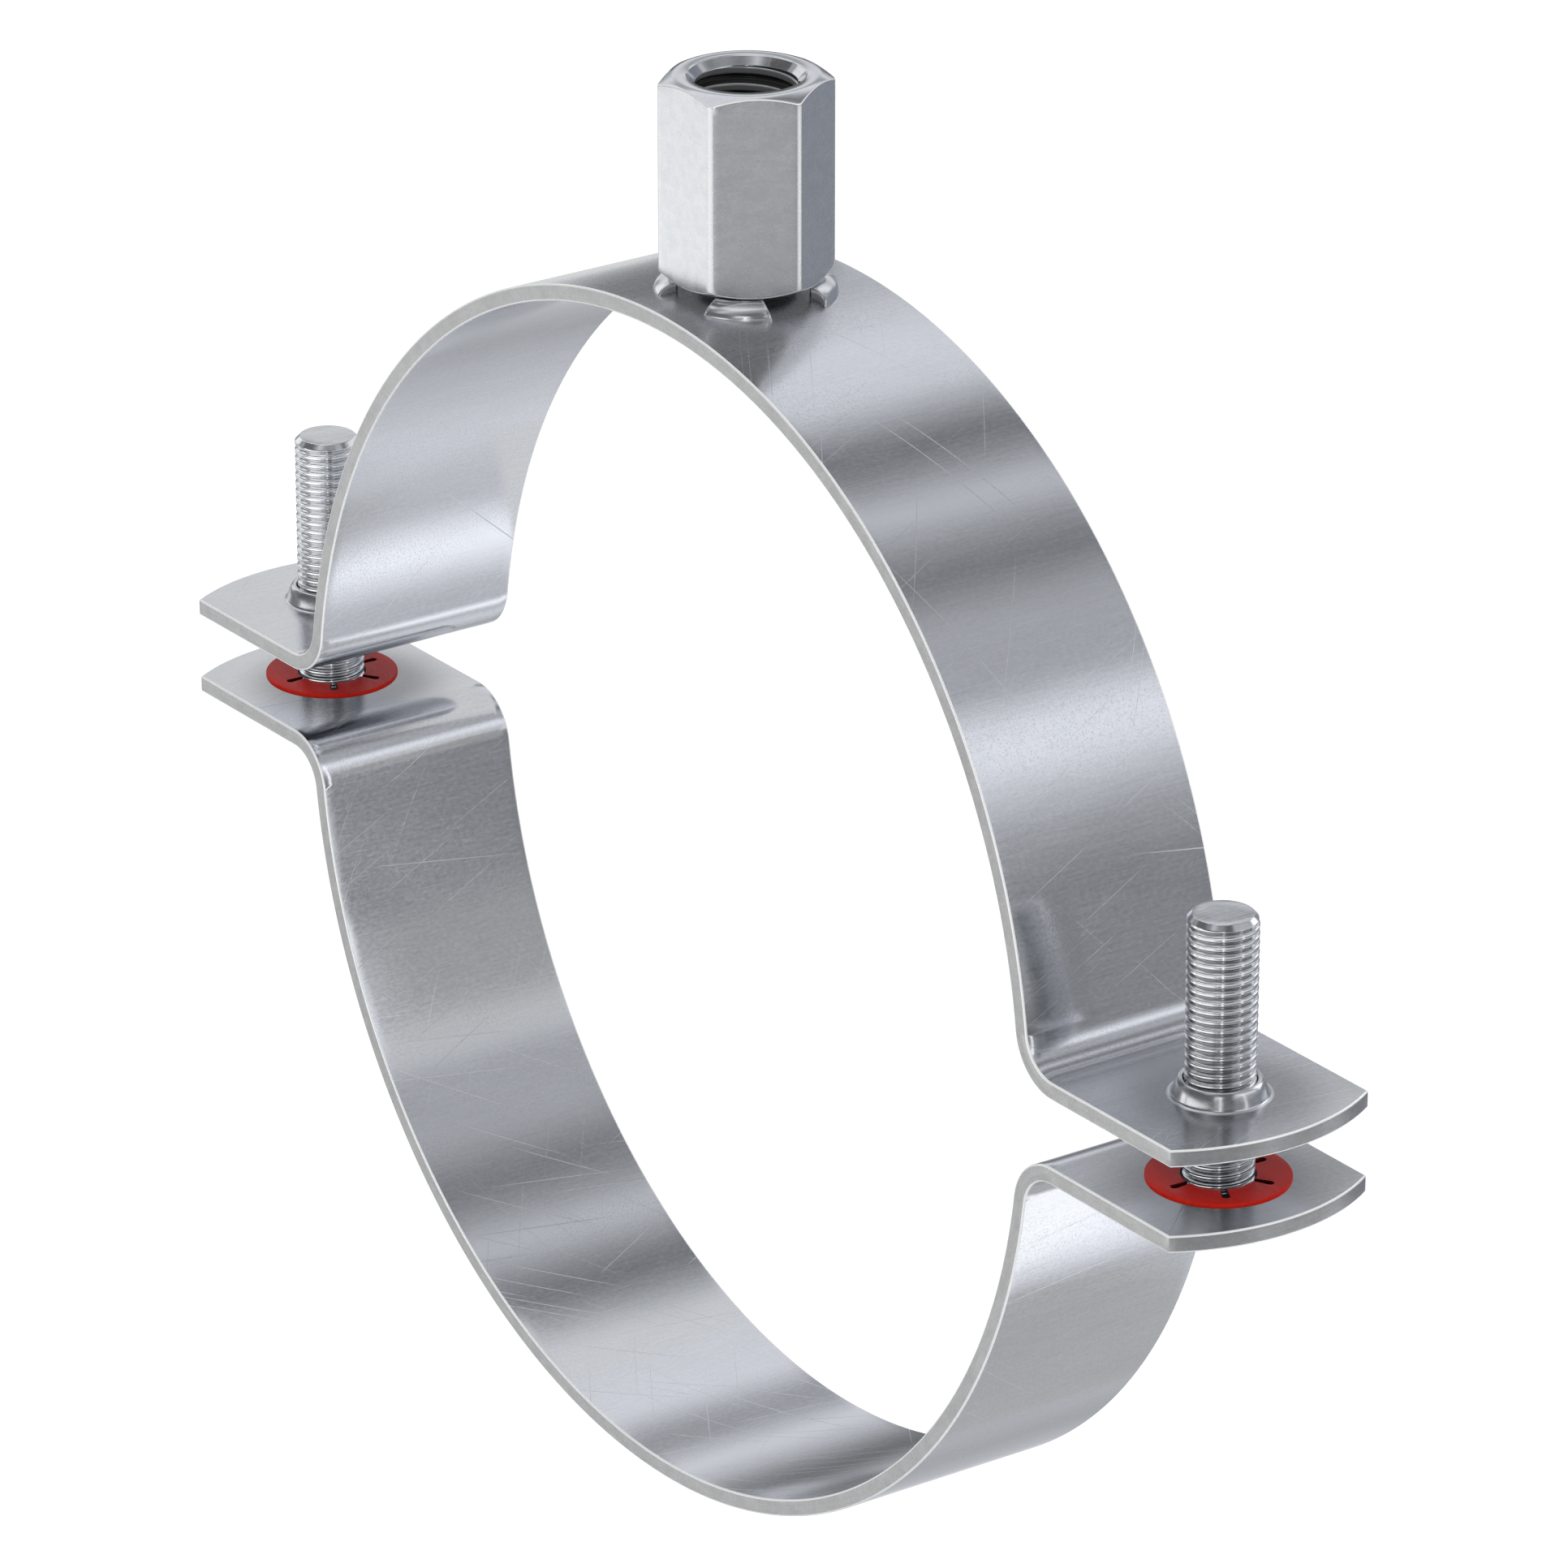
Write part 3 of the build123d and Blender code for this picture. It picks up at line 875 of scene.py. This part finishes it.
def strip_wear(tree, flat, ears):
    """Where a half ring is gritty, short of its bends, and how much duller its ears and welded top are."""
    run = wire(tree, "ShaderNodeSeparateXYZ", Vector=flat).outputs[0]
    along = sums(tree, "ABSOLUTE", along_strip(tree, run))
    bend = (RING_RUN + BEND_RUN) * MM

    def beside_bend(reach, before, after):
        return span(tree, along, bend + reach[0], bend + reach[1], before, after)

    heated = span(tree, sums(tree, "ABSOLUTE", run), *HEATED, HEAT_DULLNESS, 0.0)
    duller = sums(tree, "ADD", beside_bend(EAR_STARTS, 0.0, ears), heated)
    gritty = beside_bend(GRITTY_FROM, 0.0, GRITTY_SHARE)
    gritty = sums(tree, "MULTIPLY", gritty, beside_bend(GRITTY_TO, 1.0, 0.0))
    return gritty, duller


def zinc(name, groups, dark, light, rough, relief, hair=0.0, grit=0.0, grain=(0.00012, 0.004, 0.001),
         patch=0.006, cloudy=0.3, streaky=0.35, mottled=0.25, ears=0.0, metal=1.0, painted_shades=(), threaded=False):
    """Zinc plating: cloudy, mottled colour, and grain, scratches and grit in its roughness and relief.

    Grain is how far a streak goes each way, and patch how large a cloud is, in metres. Each painted shade is
    (centre, near, far, at near, at far) in millimetres and shares of the colour's brightness.
    """
    made, tree, shader = blank_material(name)
    flat = wire(tree, "ShaderNodeAttribute", {"attribute_name": "flat"}).outputs["Vector"]
    streaks = use(tree, groups["grain"], Vector=flat, Sizes=grain).outputs["Grain"]
    lines = use(tree, groups["hairlines"], Vector=flat, Amount=hair).outputs["Scratches"]
    gritty, duller = strip_wear(tree, flat, ears) if ears else (0.0, 0.0)
    patches = use(tree, groups["cloud"], Vector=flat, Size=patch, Worn=gritty)
    cloud, specks = patches.outputs["Cloud"], patches.outputs["Speckle"]
    mottle = span(tree, noise(tree, stretched(tree, flat, MOTTLE_SIZES), 2.0), 0.3, 0.7)

    tone = sums(tree, "MULTIPLY_ADD", cloud, cloudy, 0.5 - (cloudy + streaky + mottled) / 2)
    tone = sums(tree, "MULTIPLY_ADD", streaks, streaky, sums(tree, "MULTIPLY_ADD", mottle, mottled, tone))
    tone = sums(tree, "SUBTRACT", tone, sums(tree, "MULTIPLY", specks, grit))
    tone = sums(tree, "ADD", tone, sums(tree, "MULTIPLY", lines, SCRATCH_LIGHT), clamp=True)
    colour = colour_between(tree, tone, dark, light)
    # Painted light: the nut thread's painted highlights and shade, and each painted shade round an axis,
    # scale the colour
    painted_shading = [use(tree, groups["thread"], Vector=flat)] if threaded else []
    for centre, near, far, at_near, at_far in painted_shades:
        painted_shading.append(use(
            tree, groups["round"], Vector=flat, Centre=centre * MM, Near=near * MM, Far=far * MM,
            At_Near=at_near, At_Far=at_far,
        ))
    for one in painted_shading:
        scaled = wire(tree, "ShaderNodeVectorMath", {"operation": "SCALE"}, _0=colour, Scale=one.outputs[0])
        colour = scaled.outputs[0]
    tree.links.new(colour, shader.inputs["Base Color"])
    shader.inputs["Metallic"].default_value = metal

    dull = sums(tree, "MULTIPLY_ADD", mottle, MOTTLE_DULLNESS, rough)
    dull = sums(tree, "MULTIPLY_ADD", streaks, STREAK_DULLNESS, dull)
    dull = sums(tree, "MULTIPLY_ADD", specks, GRIT_DULLNESS * grit, dull)
    dull = sums(tree, "MULTIPLY_ADD", lines, SCRATCH_DULLNESS, dull)
    dull = sums(tree, "ADD", dull, duller)
    tree.links.new(dull, shader.inputs["Roughness"])
    scored = sums(tree, "MULTIPLY", lines, SCRATCH_DEPTH)
    height = sums(tree, "SUBTRACT", sums(tree, "MULTIPLY", streaks, relief), scored)
    height = sums(tree, "MULTIPLY_ADD", specks, GRIT_HEIGHT * grit, height)
    bump = wire(tree, "ShaderNodeBump", Height=height, Strength=1.0, Distance=RELIEF_UNIT)
    tree.links.new(bump.outputs[0], shader.inputs["Normal"])
    return made


def red_fibre(name, dark, light, shine):
    """The washers' matt red sheet, faintly leathery."""
    made, tree, shader = blank_material(name)
    place = wire(tree, "ShaderNodeTexCoord").outputs["Object"]
    skin = noise(tree, stretched(tree, place, FIBRE_SIZES, FIBRE_TURN), 4.0, 0.6, 0.6)
    soft = noise(tree, stretched(tree, place, FIBRE_PATCH), 2.0)
    tone = sums(tree, "MULTIPLY_ADD", skin, 0.6, sums(tree, "MULTIPLY", soft, 0.4))
    tree.links.new(colour_between(tree, span(tree, tone, 0.3, 0.7), dark, light), shader.inputs["Base Color"])
    tree.links.new(span(tree, skin, 0.3, 0.7, 0.32, 0.46), shader.inputs["Roughness"])
    shader.inputs["Specular IOR Level"].default_value = shine
    bump = wire(tree, "ShaderNodeBump", Height=skin, Strength=1.0, Distance=FIBRE_RELIEF)
    tree.links.new(bump.outputs[0], shader.inputs["Normal"])
    return made


# Studio

# Degrees round the duct axis from the right ear upward, and how bright the surround is there
SURROUND = [
    (-180, 0.16), (-170, 0.38), (-158, 0.80), (-147, 1.05), (-137, 0.57), (-120, 0.44), (-87, 0.78),
    (-67, 0.62), (-56, 1.30), (-47, 0.62), (-30, 0.44), (-10, 0.27), (12, 0.27), (22, 0.42), (29, 0.68),
    (36, 0.98), (41, 0.92), (48, 0.46), (61, 0.48), (71, 0.22), (78, 0.37), (85, 0.68), (93, 0.32),
    (99, 0.19), (105, 0.42), (112, 0.76), (134, 0.86), (142, 0.42), (148, 0.38), (158, 0.86), (172, 0.30),
    (180, 0.16),
]
SURROUND_RADIUS = 3
SURROUND_SIDES = 72
SURROUND_LOOPS = (-6.0, -2.0, 2.0, 6.0)
END_WALL_FROM = (5.0, 5.9)
END_WALL_COLOUR = (0.225, 0.24, 0.28, 1)
PANEL_COLOUR = (0.98, 0.99, 1.0, 1)
STRIP_LIGHT_DISTANCE = 2.5
FLOOR_REACH = 12
FLOOR_LEVEL = -0.3
FLOOR_COLOUR = (0.86, 0.86, 0.86, 1)
FLOOR_LIFT = 0.45
SKY_LIGHT = 0.55
WHITE = (1, 1, 1, 1)

# The photograph's camera: degrees, millimetres, and pixels of its square frame
CAMERA_BEARING = 54.7758
CAMERA_ELEVATION = 22.7308
CAMERA_DISTANCE = 802.8516
CAMERA_AIM_RIGHT = 3.112
CAMERA_AIM_UP = 8.0706
FOCAL_PIXELS = 11530.8436
FRAME_PIXELS = 1932
SENSOR_WIDTH = 36


def bare_material(name):
    """A material with an empty node tree and its output node."""
    made = bpy.data.materials.new(name)
    made.use_nodes = True
    made.node_tree.nodes.clear()
    return made, made.node_tree, made.node_tree.nodes.new("ShaderNodeOutputMaterial")


def hang(name, mesh, material):
    """Hangs a glowing mesh in the studio, where only mirrors see it."""
    mesh.materials.append(material)
    cloth = bpy.data.objects.new(name, mesh)
    bpy.context.scene.collection.objects.link(cloth)
    cloth.visible_camera = False
    cloth.visible_diffuse = False
    cloth.visible_shadow = False
    cloth.visible_transmission = False


def surround():
    """Grey studio cloths hung in a tunnel along the duct axis."""
    tunnel = bmesh.new()
    swing = np.linspace(0, 2 * pi, SURROUND_SIDES, endpoint=False)
    rim = [(SURROUND_RADIUS * cos(a), SURROUND_RADIUS * sin(a)) for a in swing]
    loops = [[tunnel.verts.new((x, y, z)) for x, z in rim] for y in SURROUND_LOOPS]
    for a, b in zip(loops, loops[1:]):
        for j in range(SURROUND_SIDES):
            k = (j + 1) % SURROUND_SIDES
            tunnel.faces.new((a[j], a[k], b[k], b[j]))
    tunnel.faces.new(loops[-1])
    mesh = bpy.data.meshes.new("surround")
    tunnel.to_mesh(mesh)
    tunnel.free()
    made, tree, out = bare_material("surround_cloth")
    place = wire(tree, "ShaderNodeTexCoord").outputs["Object"]
    parts = wire(tree, "ShaderNodeSeparateXYZ", Vector=place)
    around = sums(tree, "ARCTAN2", parts.outputs[2], parts.outputs[0])
    share = sums(tree, "MULTIPLY_ADD", around, 1 / (2 * pi), 0.5)
    ramp = wire(tree, "ShaderNodeValToRGB", Fac=share)
    stops = ramp.color_ramp.elements
    while len(stops) > 1:
        stops.remove(stops[-1])
    for index, (degrees, bright) in enumerate(SURROUND):
        stop = stops[0] if index == 0 else stops.new((degrees + 180) / 360)
        stop.position = (degrees + 180) / 360
        stop.color = (bright * 0.97, bright * 0.99, bright * 1.04, 1)
    end_wall = wire(tree, "ShaderNodeMix", {"data_type": "RGBA"})
    tree.links.new(span(tree, parts.outputs[1], *END_WALL_FROM), end_wall.inputs[0])
    tree.links.new(ramp.outputs[0], end_wall.inputs[6])
    end_wall.inputs[7].default_value = END_WALL_COLOUR
    glow = wire(tree, "ShaderNodeEmission", Color=end_wall.outputs[2], Strength=1.0)
    tree.links.new(glow.outputs[0], out.inputs["Surface"])
    hang("surround", mesh, made)


def panel(name, corners, bright):
    """A flat light from its corners in metres."""
    mesh = bpy.data.meshes.new(name)
    mesh.from_pydata(corners, [], [tuple(range(len(corners)))])
    made, tree, out = bare_material(name)
    glow = wire(tree, "ShaderNodeEmission", Color=PANEL_COLOUR, Strength=bright)
    tree.links.new(glow.outputs[0], out.inputs["Surface"])
    hang(name, mesh, made)


def card(name, x, y, z, bright):
    """A flat rectangular light: two of x, y and z say from where to where it goes, one where it hangs."""
    corners = []
    for ends in ((0, 0), (1, 0), (1, 1), (0, 1)):
        end = iter(ends)
        corners.append([reach[next(end)] if isinstance(reach, tuple) else reach for reach in (x, y, z)])
    panel(name, corners, bright)


def strip_light(name, degrees, width, low, high, bright):
    """A tall narrow light at a bearing from the clamp."""
    way = radians(degrees)
    centre = Vector((cos(way), sin(way), 0)) * STRIP_LIGHT_DISTANCE
    aside = Vector((-sin(way), cos(way), 0)) * width / 2
    near, far = centre - aside, centre + aside
    foot = [(near.x, near.y, low), (far.x, far.y, low)]
    head = [(far.x, far.y, high), (near.x, near.y, high)]
    panel(name, foot + head, bright)


def underside_card():
    """A flat grey ring just under the nut: the strip there mirrors it in place of the nut's underside."""
    outer, inner, height = 6.25, 4.3, NUT_BASE - 0.02
    turn = np.linspace(0, 2 * pi, 25)
    ring = [(outer, a) for a in turn] + [(inner, a) for a in turn[::-1]]
    panel("underside_card", [(r * MM * cos(a), r * MM * sin(a), height * MM) for r, a in ring], 0.12)


def floor():
    """Plain pale floor well below the hanging clamp, seen from above and clear from below."""
    ways = [(-1, -1), (1, -1), (1, 1), (-1, 1)]
    corners = [(x * FLOOR_REACH, y * FLOOR_REACH, FLOOR_LEVEL) for x, y in ways]
    mesh = bpy.data.meshes.new("floor")
    mesh.from_pydata(corners, [], [(0, 1, 2, 3)])
    ground = bpy.data.objects.new("floor", mesh)
    bpy.context.scene.collection.objects.link(ground)
    made, tree, out = bare_material("pale_floor")
    matt = wire(tree, "ShaderNodeBsdfDiffuse", Color=FLOOR_COLOUR)
    rays = wire(tree, "ShaderNodeLightPath")
    lift = sums(tree, "MULTIPLY", rays.outputs["Is Camera Ray"], FLOOR_LIFT)
    glow = wire(tree, "ShaderNodeEmission", Color=WHITE, Strength=lift)
    both = tree.nodes.new("ShaderNodeAddShader")
    tree.links.new(matt.outputs[0], both.inputs[0])
    tree.links.new(glow.outputs[0], both.inputs[1])
    clear = tree.nodes.new("ShaderNodeBsdfTransparent")
    side = wire(tree, "ShaderNodeNewGeometry")
    pick = tree.nodes.new("ShaderNodeMixShader")
    tree.links.new(side.outputs["Backfacing"], pick.inputs[0])
    tree.links.new(both.outputs[0], pick.inputs[1])
    tree.links.new(clear.outputs[0], pick.inputs[2])
    tree.links.new(pick.outputs[0], out.inputs["Surface"])
    mesh.materials.append(made)
    ground.visible_glossy = False


def sky():
    """Even soft light; cameras and mirrors see plain white."""
    world = bpy.data.worlds.new("studio")
    bpy.context.scene.world = world
    world.use_nodes = True
    tree = world.node_tree
    tree.nodes.clear()
    rays = wire(tree, "ShaderNodeLightPath")
    seen = sums(tree, "MAXIMUM", rays.outputs["Is Camera Ray"], rays.outputs["Is Glossy Ray"])
    seen = sums(tree, "MAXIMUM", seen, rays.outputs["Is Transmission Ray"])
    level = sums(tree, "MULTIPLY_ADD", seen, 1 - SKY_LIGHT, SKY_LIGHT)
    back = wire(tree, "ShaderNodeBackground", Color=WHITE, Strength=level)
    out = tree.nodes.new("ShaderNodeOutputWorld")
    tree.links.new(back.outputs[0], out.inputs["Surface"])


def soft_lamp(name, place, size, power):
    """A large soft lamp aimed at the clamp; it lights matt surfaces, and mirrors don't see it."""
    data = bpy.data.lights.new(name, "AREA")
    data.size = size
    data.energy = power
    lamp = bpy.data.objects.new(name, data)
    bpy.context.scene.collection.objects.link(lamp)
    lamp.location = place
    lamp.rotation_euler = (Vector((0, 0, 0)) - Vector(place)).to_track_quat("-Z", "Y").to_euler()
    lamp.visible_glossy = False
    lamp.visible_camera = False


def camera():
    """The photograph's viewing angle."""
    bearing, elevation = radians(CAMERA_BEARING), radians(CAMERA_ELEVATION)
    back = Vector((sin(bearing) * cos(elevation), -cos(bearing) * cos(elevation), sin(elevation)))
    right = Vector((cos(bearing), sin(bearing), 0))
    up = back.cross(right)
    aim = (right * CAMERA_AIM_RIGHT + up * CAMERA_AIM_UP) * MM
    data = bpy.data.cameras.new("camera")
    data.sensor_width = SENSOR_WIDTH
    data.lens = SENSOR_WIDTH * FOCAL_PIXELS / FRAME_PIXELS
    data.clip_start = 0.05
    view = bpy.data.objects.new("camera", data)
    bpy.context.scene.collection.objects.link(view)
    rows = [(right[i], up[i], back[i], aim[i] + back[i] * CAMERA_DISTANCE * MM) for i in range(3)]
    view.matrix_world = Matrix((*rows, (0, 0, 0, 1)))
    bpy.context.scene.camera = view


# Finishes

groups = {
    "grain": rolled_grain(), "hairlines": hairlines(), "cloud": zinc_cloud(), "round": painted_round_shade(),
    "thread": painted_thread_light(),
}
# The strips' colour carries painted shade round the collar on the upper right ear and round both washers on
# the lower ears; the rest is slightly darker
upper_strip, lower_strip = [
    zinc(
        name, groups, (0.69, 0.70, 0.725), (0.85, 0.865, 0.895), rough=0.09, relief=0.55, hair=0.68,
        grit=0.65, grain=(0.00009, 0.0025, 0.001), ears=0.08, painted_shades=painted_shades,
    )
    for name, painted_shades in (
        ("upper_strip_zinc", [(HOLE_RUN, 4.6, 10.5, 0.6, 0.98)]),
        ("lower_strip_zinc", [(HOLE_RUN, 4.6, 13.0, 0.46, 0.96), (2.5 - HOLE_RUN, 5.0, 11.0, 0.5, 1.0)]),
    )
]
strip_edge = zinc(
    "sheared_edge", groups, (0.42, 0.417, 0.413), (0.63, 0.627, 0.62), rough=0.3, relief=0.7, grit=0.2,
    grain=(0.003, 0.003, 0.00016), cloudy=0.35, patch=0.0015, streaky=0.3, mottled=0.25,
)
# Painted highlight: broken edges and the lines round the nut's flats are painted almost white
painted_highlight_edge = zinc(
    "broken_edge", groups, (0.88, 0.885, 0.89), (0.98, 0.985, 0.99), rough=0.3, relief=0.2, metal=0.4,
)
collar_zinc = zinc("collar_zinc", groups, (0.68, 0.69, 0.71), (0.84, 0.85, 0.88), rough=0.18, relief=0.3)
nut_zinc = zinc(
    "nut_zinc", groups, (0.82, 0.835, 0.845), (0.92, 0.925, 0.935), rough=0.22, relief=0.05,
    grain=(0.0012, 0.0012, 0.0001), cloudy=0.75, patch=0.0011, streaky=0.2, mottled=0.3,
)
turned_zinc = zinc(
    "turned_zinc", groups, (0.70, 0.71, 0.72), (0.82, 0.83, 0.85), rough=0.09, relief=0.15,
    grain=(0.004, 0.004, 0.0001),
)
corner_zinc = zinc(
    "corner_zinc", groups, (0.82, 0.825, 0.83), (0.88, 0.885, 0.89), rough=0.25, relief=0.0,
    cloudy=0, streaky=0, mottled=0, metal=0.5,
)
# The nut's thread: its colour carries painted highlights on the crest edges and painted shade in the grooves
nut_thread_painted_light = zinc(
    "nut_thread_painted_light", groups, (0.78, 0.79, 0.81), (0.88, 0.89, 0.91), rough=0.16, relief=0.0, metal=0.5,
    threaded=True,
)
# Painted shade: grey under the nut, and nearly black under the washers and on the weld feet's inner sides
painted_shade_zinc = zinc("painted_shade_zinc", groups, (0.30, 0.305, 0.32), (0.42, 0.425, 0.44), rough=0.3, relief=0.2)
painted_shade_black = zinc("painted_shade_black", groups, (0.02, 0.02, 0.022), (0.035, 0.035, 0.04), rough=0.4, relief=0.2)
weld_metal = zinc(
    "weld_metal", groups, (0.86, 0.87, 0.88), (0.95, 0.96, 0.97), rough=0.17, relief=0.0,
    cloudy=0.2, patch=0.002, streaky=0.05, mottled=0.05,
)
# The rims are painted a little lighter and more orange as a highlight, and the slits' walls dark as shade
washer_face = red_fibre("red_fibre", (0.56, 0.010, 0.005), (0.76, 0.017, 0.008), 0.2)
washer_rim_painted_highlight = red_fibre("red_fibre_rim_painted_highlight", (0.60, 0.016, 0.008), (0.74, 0.024, 0.012), 0.08)
washer_slit_painted_shade = red_fibre("red_fibre_slit_painted_shade", (0.05, 0.003, 0.003), (0.08, 0.005, 0.004), 0.05)


def screw_and_washer(label, side, darkest, lightest, groove):
    """One side's screw and its washer; the screw's colour is painted lighter or darker for the light on its
    side, and its thread's grooves get painted shade.
    """
    dark = (darkest, darkest * 1.01, darkest * 1.03)
    light = (lightest, lightest * 1.01, lightest * 1.03)
    # Painted shade in the thread's grooves: groove is how much of the colour is left there
    thread = zinc(
        label + "_screw_zinc", groups, dark, light, rough=0.13, relief=0.15,
        painted_shades=[(0, 2.68, 2.86, groove, 1.0)],
    )
    plain = zinc(label + "_screw_plain", groups, dark, light, rough=0.14, relief=0.15)
    tip = zinc(
        label + "_screw_end", groups, (0.54, 0.55, 0.56), (0.78, 0.79, 0.81), rough=0.17, relief=0.8,
        hair=0.1, streaky=0.8,
    )
    screw(label + "_screw_threaded", side, label + "_screw", label + "_screw", [thread, tip, plain])
    finishes = [washer_face, washer_rim_painted_highlight, washer_slit_painted_shade]
    retainer = washer(label + "_washer", side, "lower_half", label + "_retaining_washer", finishes)
    retainer.visible_glossy = False


# Pieces

shared = [strip_edge, painted_highlight_edge, collar_zinc]
half_ring("upper_half_ring", "upper_half", "upper_band", True, [upper_strip, *shared])
half_ring("lower_half_ring", "lower_half", "lower_band", False, [lower_strip, *shared, painted_shade_black])
connection_nut([nut_zinc, nut_thread_painted_light, turned_zinc, painted_highlight_edge, painted_shade_zinc, corner_zinc])
for foot, angle in FOOT_ANGLES.items():
    weld_foot(foot, angle, [weld_metal, painted_shade_black])
# The left screw is painted lighter than the right, as if lit more brightly, and its grooves less shaded
screw_and_washer("left", -1, 0.86, 0.98, 0.75)
screw_and_washer("right", 1, 0.76, 0.90, 0.5)

# Camera, floor, and what lights the clamp and shows in its mirrors

camera()
sky()
floor()
surround()
# Each card's reach or place along x, y and z in metres, and how bright it is
card("front_cloth", (-3.4, 1.9), -2.3, (0.4, 2.6), 0.12)
card("right_cloth", 2.3, (-2.2, -0.1), (0.4, 1.5), 0.12)
card("left_cloth", -2.5, (-2.3, -0.9), (0.4, 2.2), 0.2)
card("low_softbox", (-1.3, 1.4), -2.2, (-0.1, 0.35), 1.2)
card("low_left_softbox", -2.3, (-2.4, -1.0), (-2.2, -0.4), 0.85)
card("left_screw_card", (-0.11, 0.03), -0.15, (-0.085, -0.03), 1.3)
card("left_thread_card", (-0.11, -0.04), -0.15, (-0.03, 0.03), 1.3)
card("high_left_cloth", (-1.8, -0.35), (-2.0, -0.7), 1.5, 0.12)
card("high_right_cloth", (0.7, 2.3), (-1.2, 0.15), 1.5, 0.12)
card("top_card", (-0.08, -0.03), 0.03, (0.058, 0.084), 0.15)
card("top_edge_card", (-0.29, -0.205), -0.15, (-0.09, -0.025), 1.25)
card("right_edge_card", (-0.17, -0.116), -0.15, (-0.108, -0.045), 0.3)
card("side_edge_card", (-0.31, -0.235), -0.15, (-0.145, -0.105), 0.65)
card("top_left_card", (-0.1, -0.035), 0.03, (0.02, 0.047), 0.75)
card("top_middle_card", (-0.1, -0.035), 0.03, (0.047, 0.055), 0.42)
card("left_ear_card", (-0.19, -0.11), 0.05, (0.02, 0.08), 0.76)
card("corner_card", (0.06, 0.083), 0.05, (0.012, 0.048), 1.5)
underside_card()
card("lower_right_card", (0.098, 0.13), 0.05, (-0.1, -0.055), 1.3)
panel("left_softbox", [(-2.3, -0.6, 0.1), (-2.3, 0.3, -0.1), (-2.3, 0.3, 2.0), (-2.3, -0.6, 2.0)], 0.9)
card("overhead_softbox", (-1.1, 0.3), (-0.7, 0.7), 2.6, 0.8)
card("inner_grey_card", 0.03, (0.04, 0.075), (0.005, 0.028), 0.4)
card("inner_mid_card", 0.03, (0.04, 0.075), (0.028, 0.039), 0.66)
card("inner_light_card", (-0.0425, -0.0355), (0.02, 0.045), 0, 0.78)
card("grey_card", (0.005, 0.11), (0.055, 0.1), -0.15, 0.5)
strip_light("front_strip", -36, 0.16, -1.6, 2.6, 2.0)
strip_light("right_strip", 25, 0.16, -1.6, 2.6, 1.6)
strip_light("low_left_strip", -115, 0.8, -1.8, -0.2, 0.9)
strip_light("low_front_strip", -52, 0.3, -1.8, -0.2, 1.0)
soft_lamp("key", (0.6, -1.6, 1.8), 1.4, 26)
soft_lamp("fill", (1.6, 0.6, 0.9), 1.4, 10)

bpy.context.scene.view_settings.view_transform = "Standard"
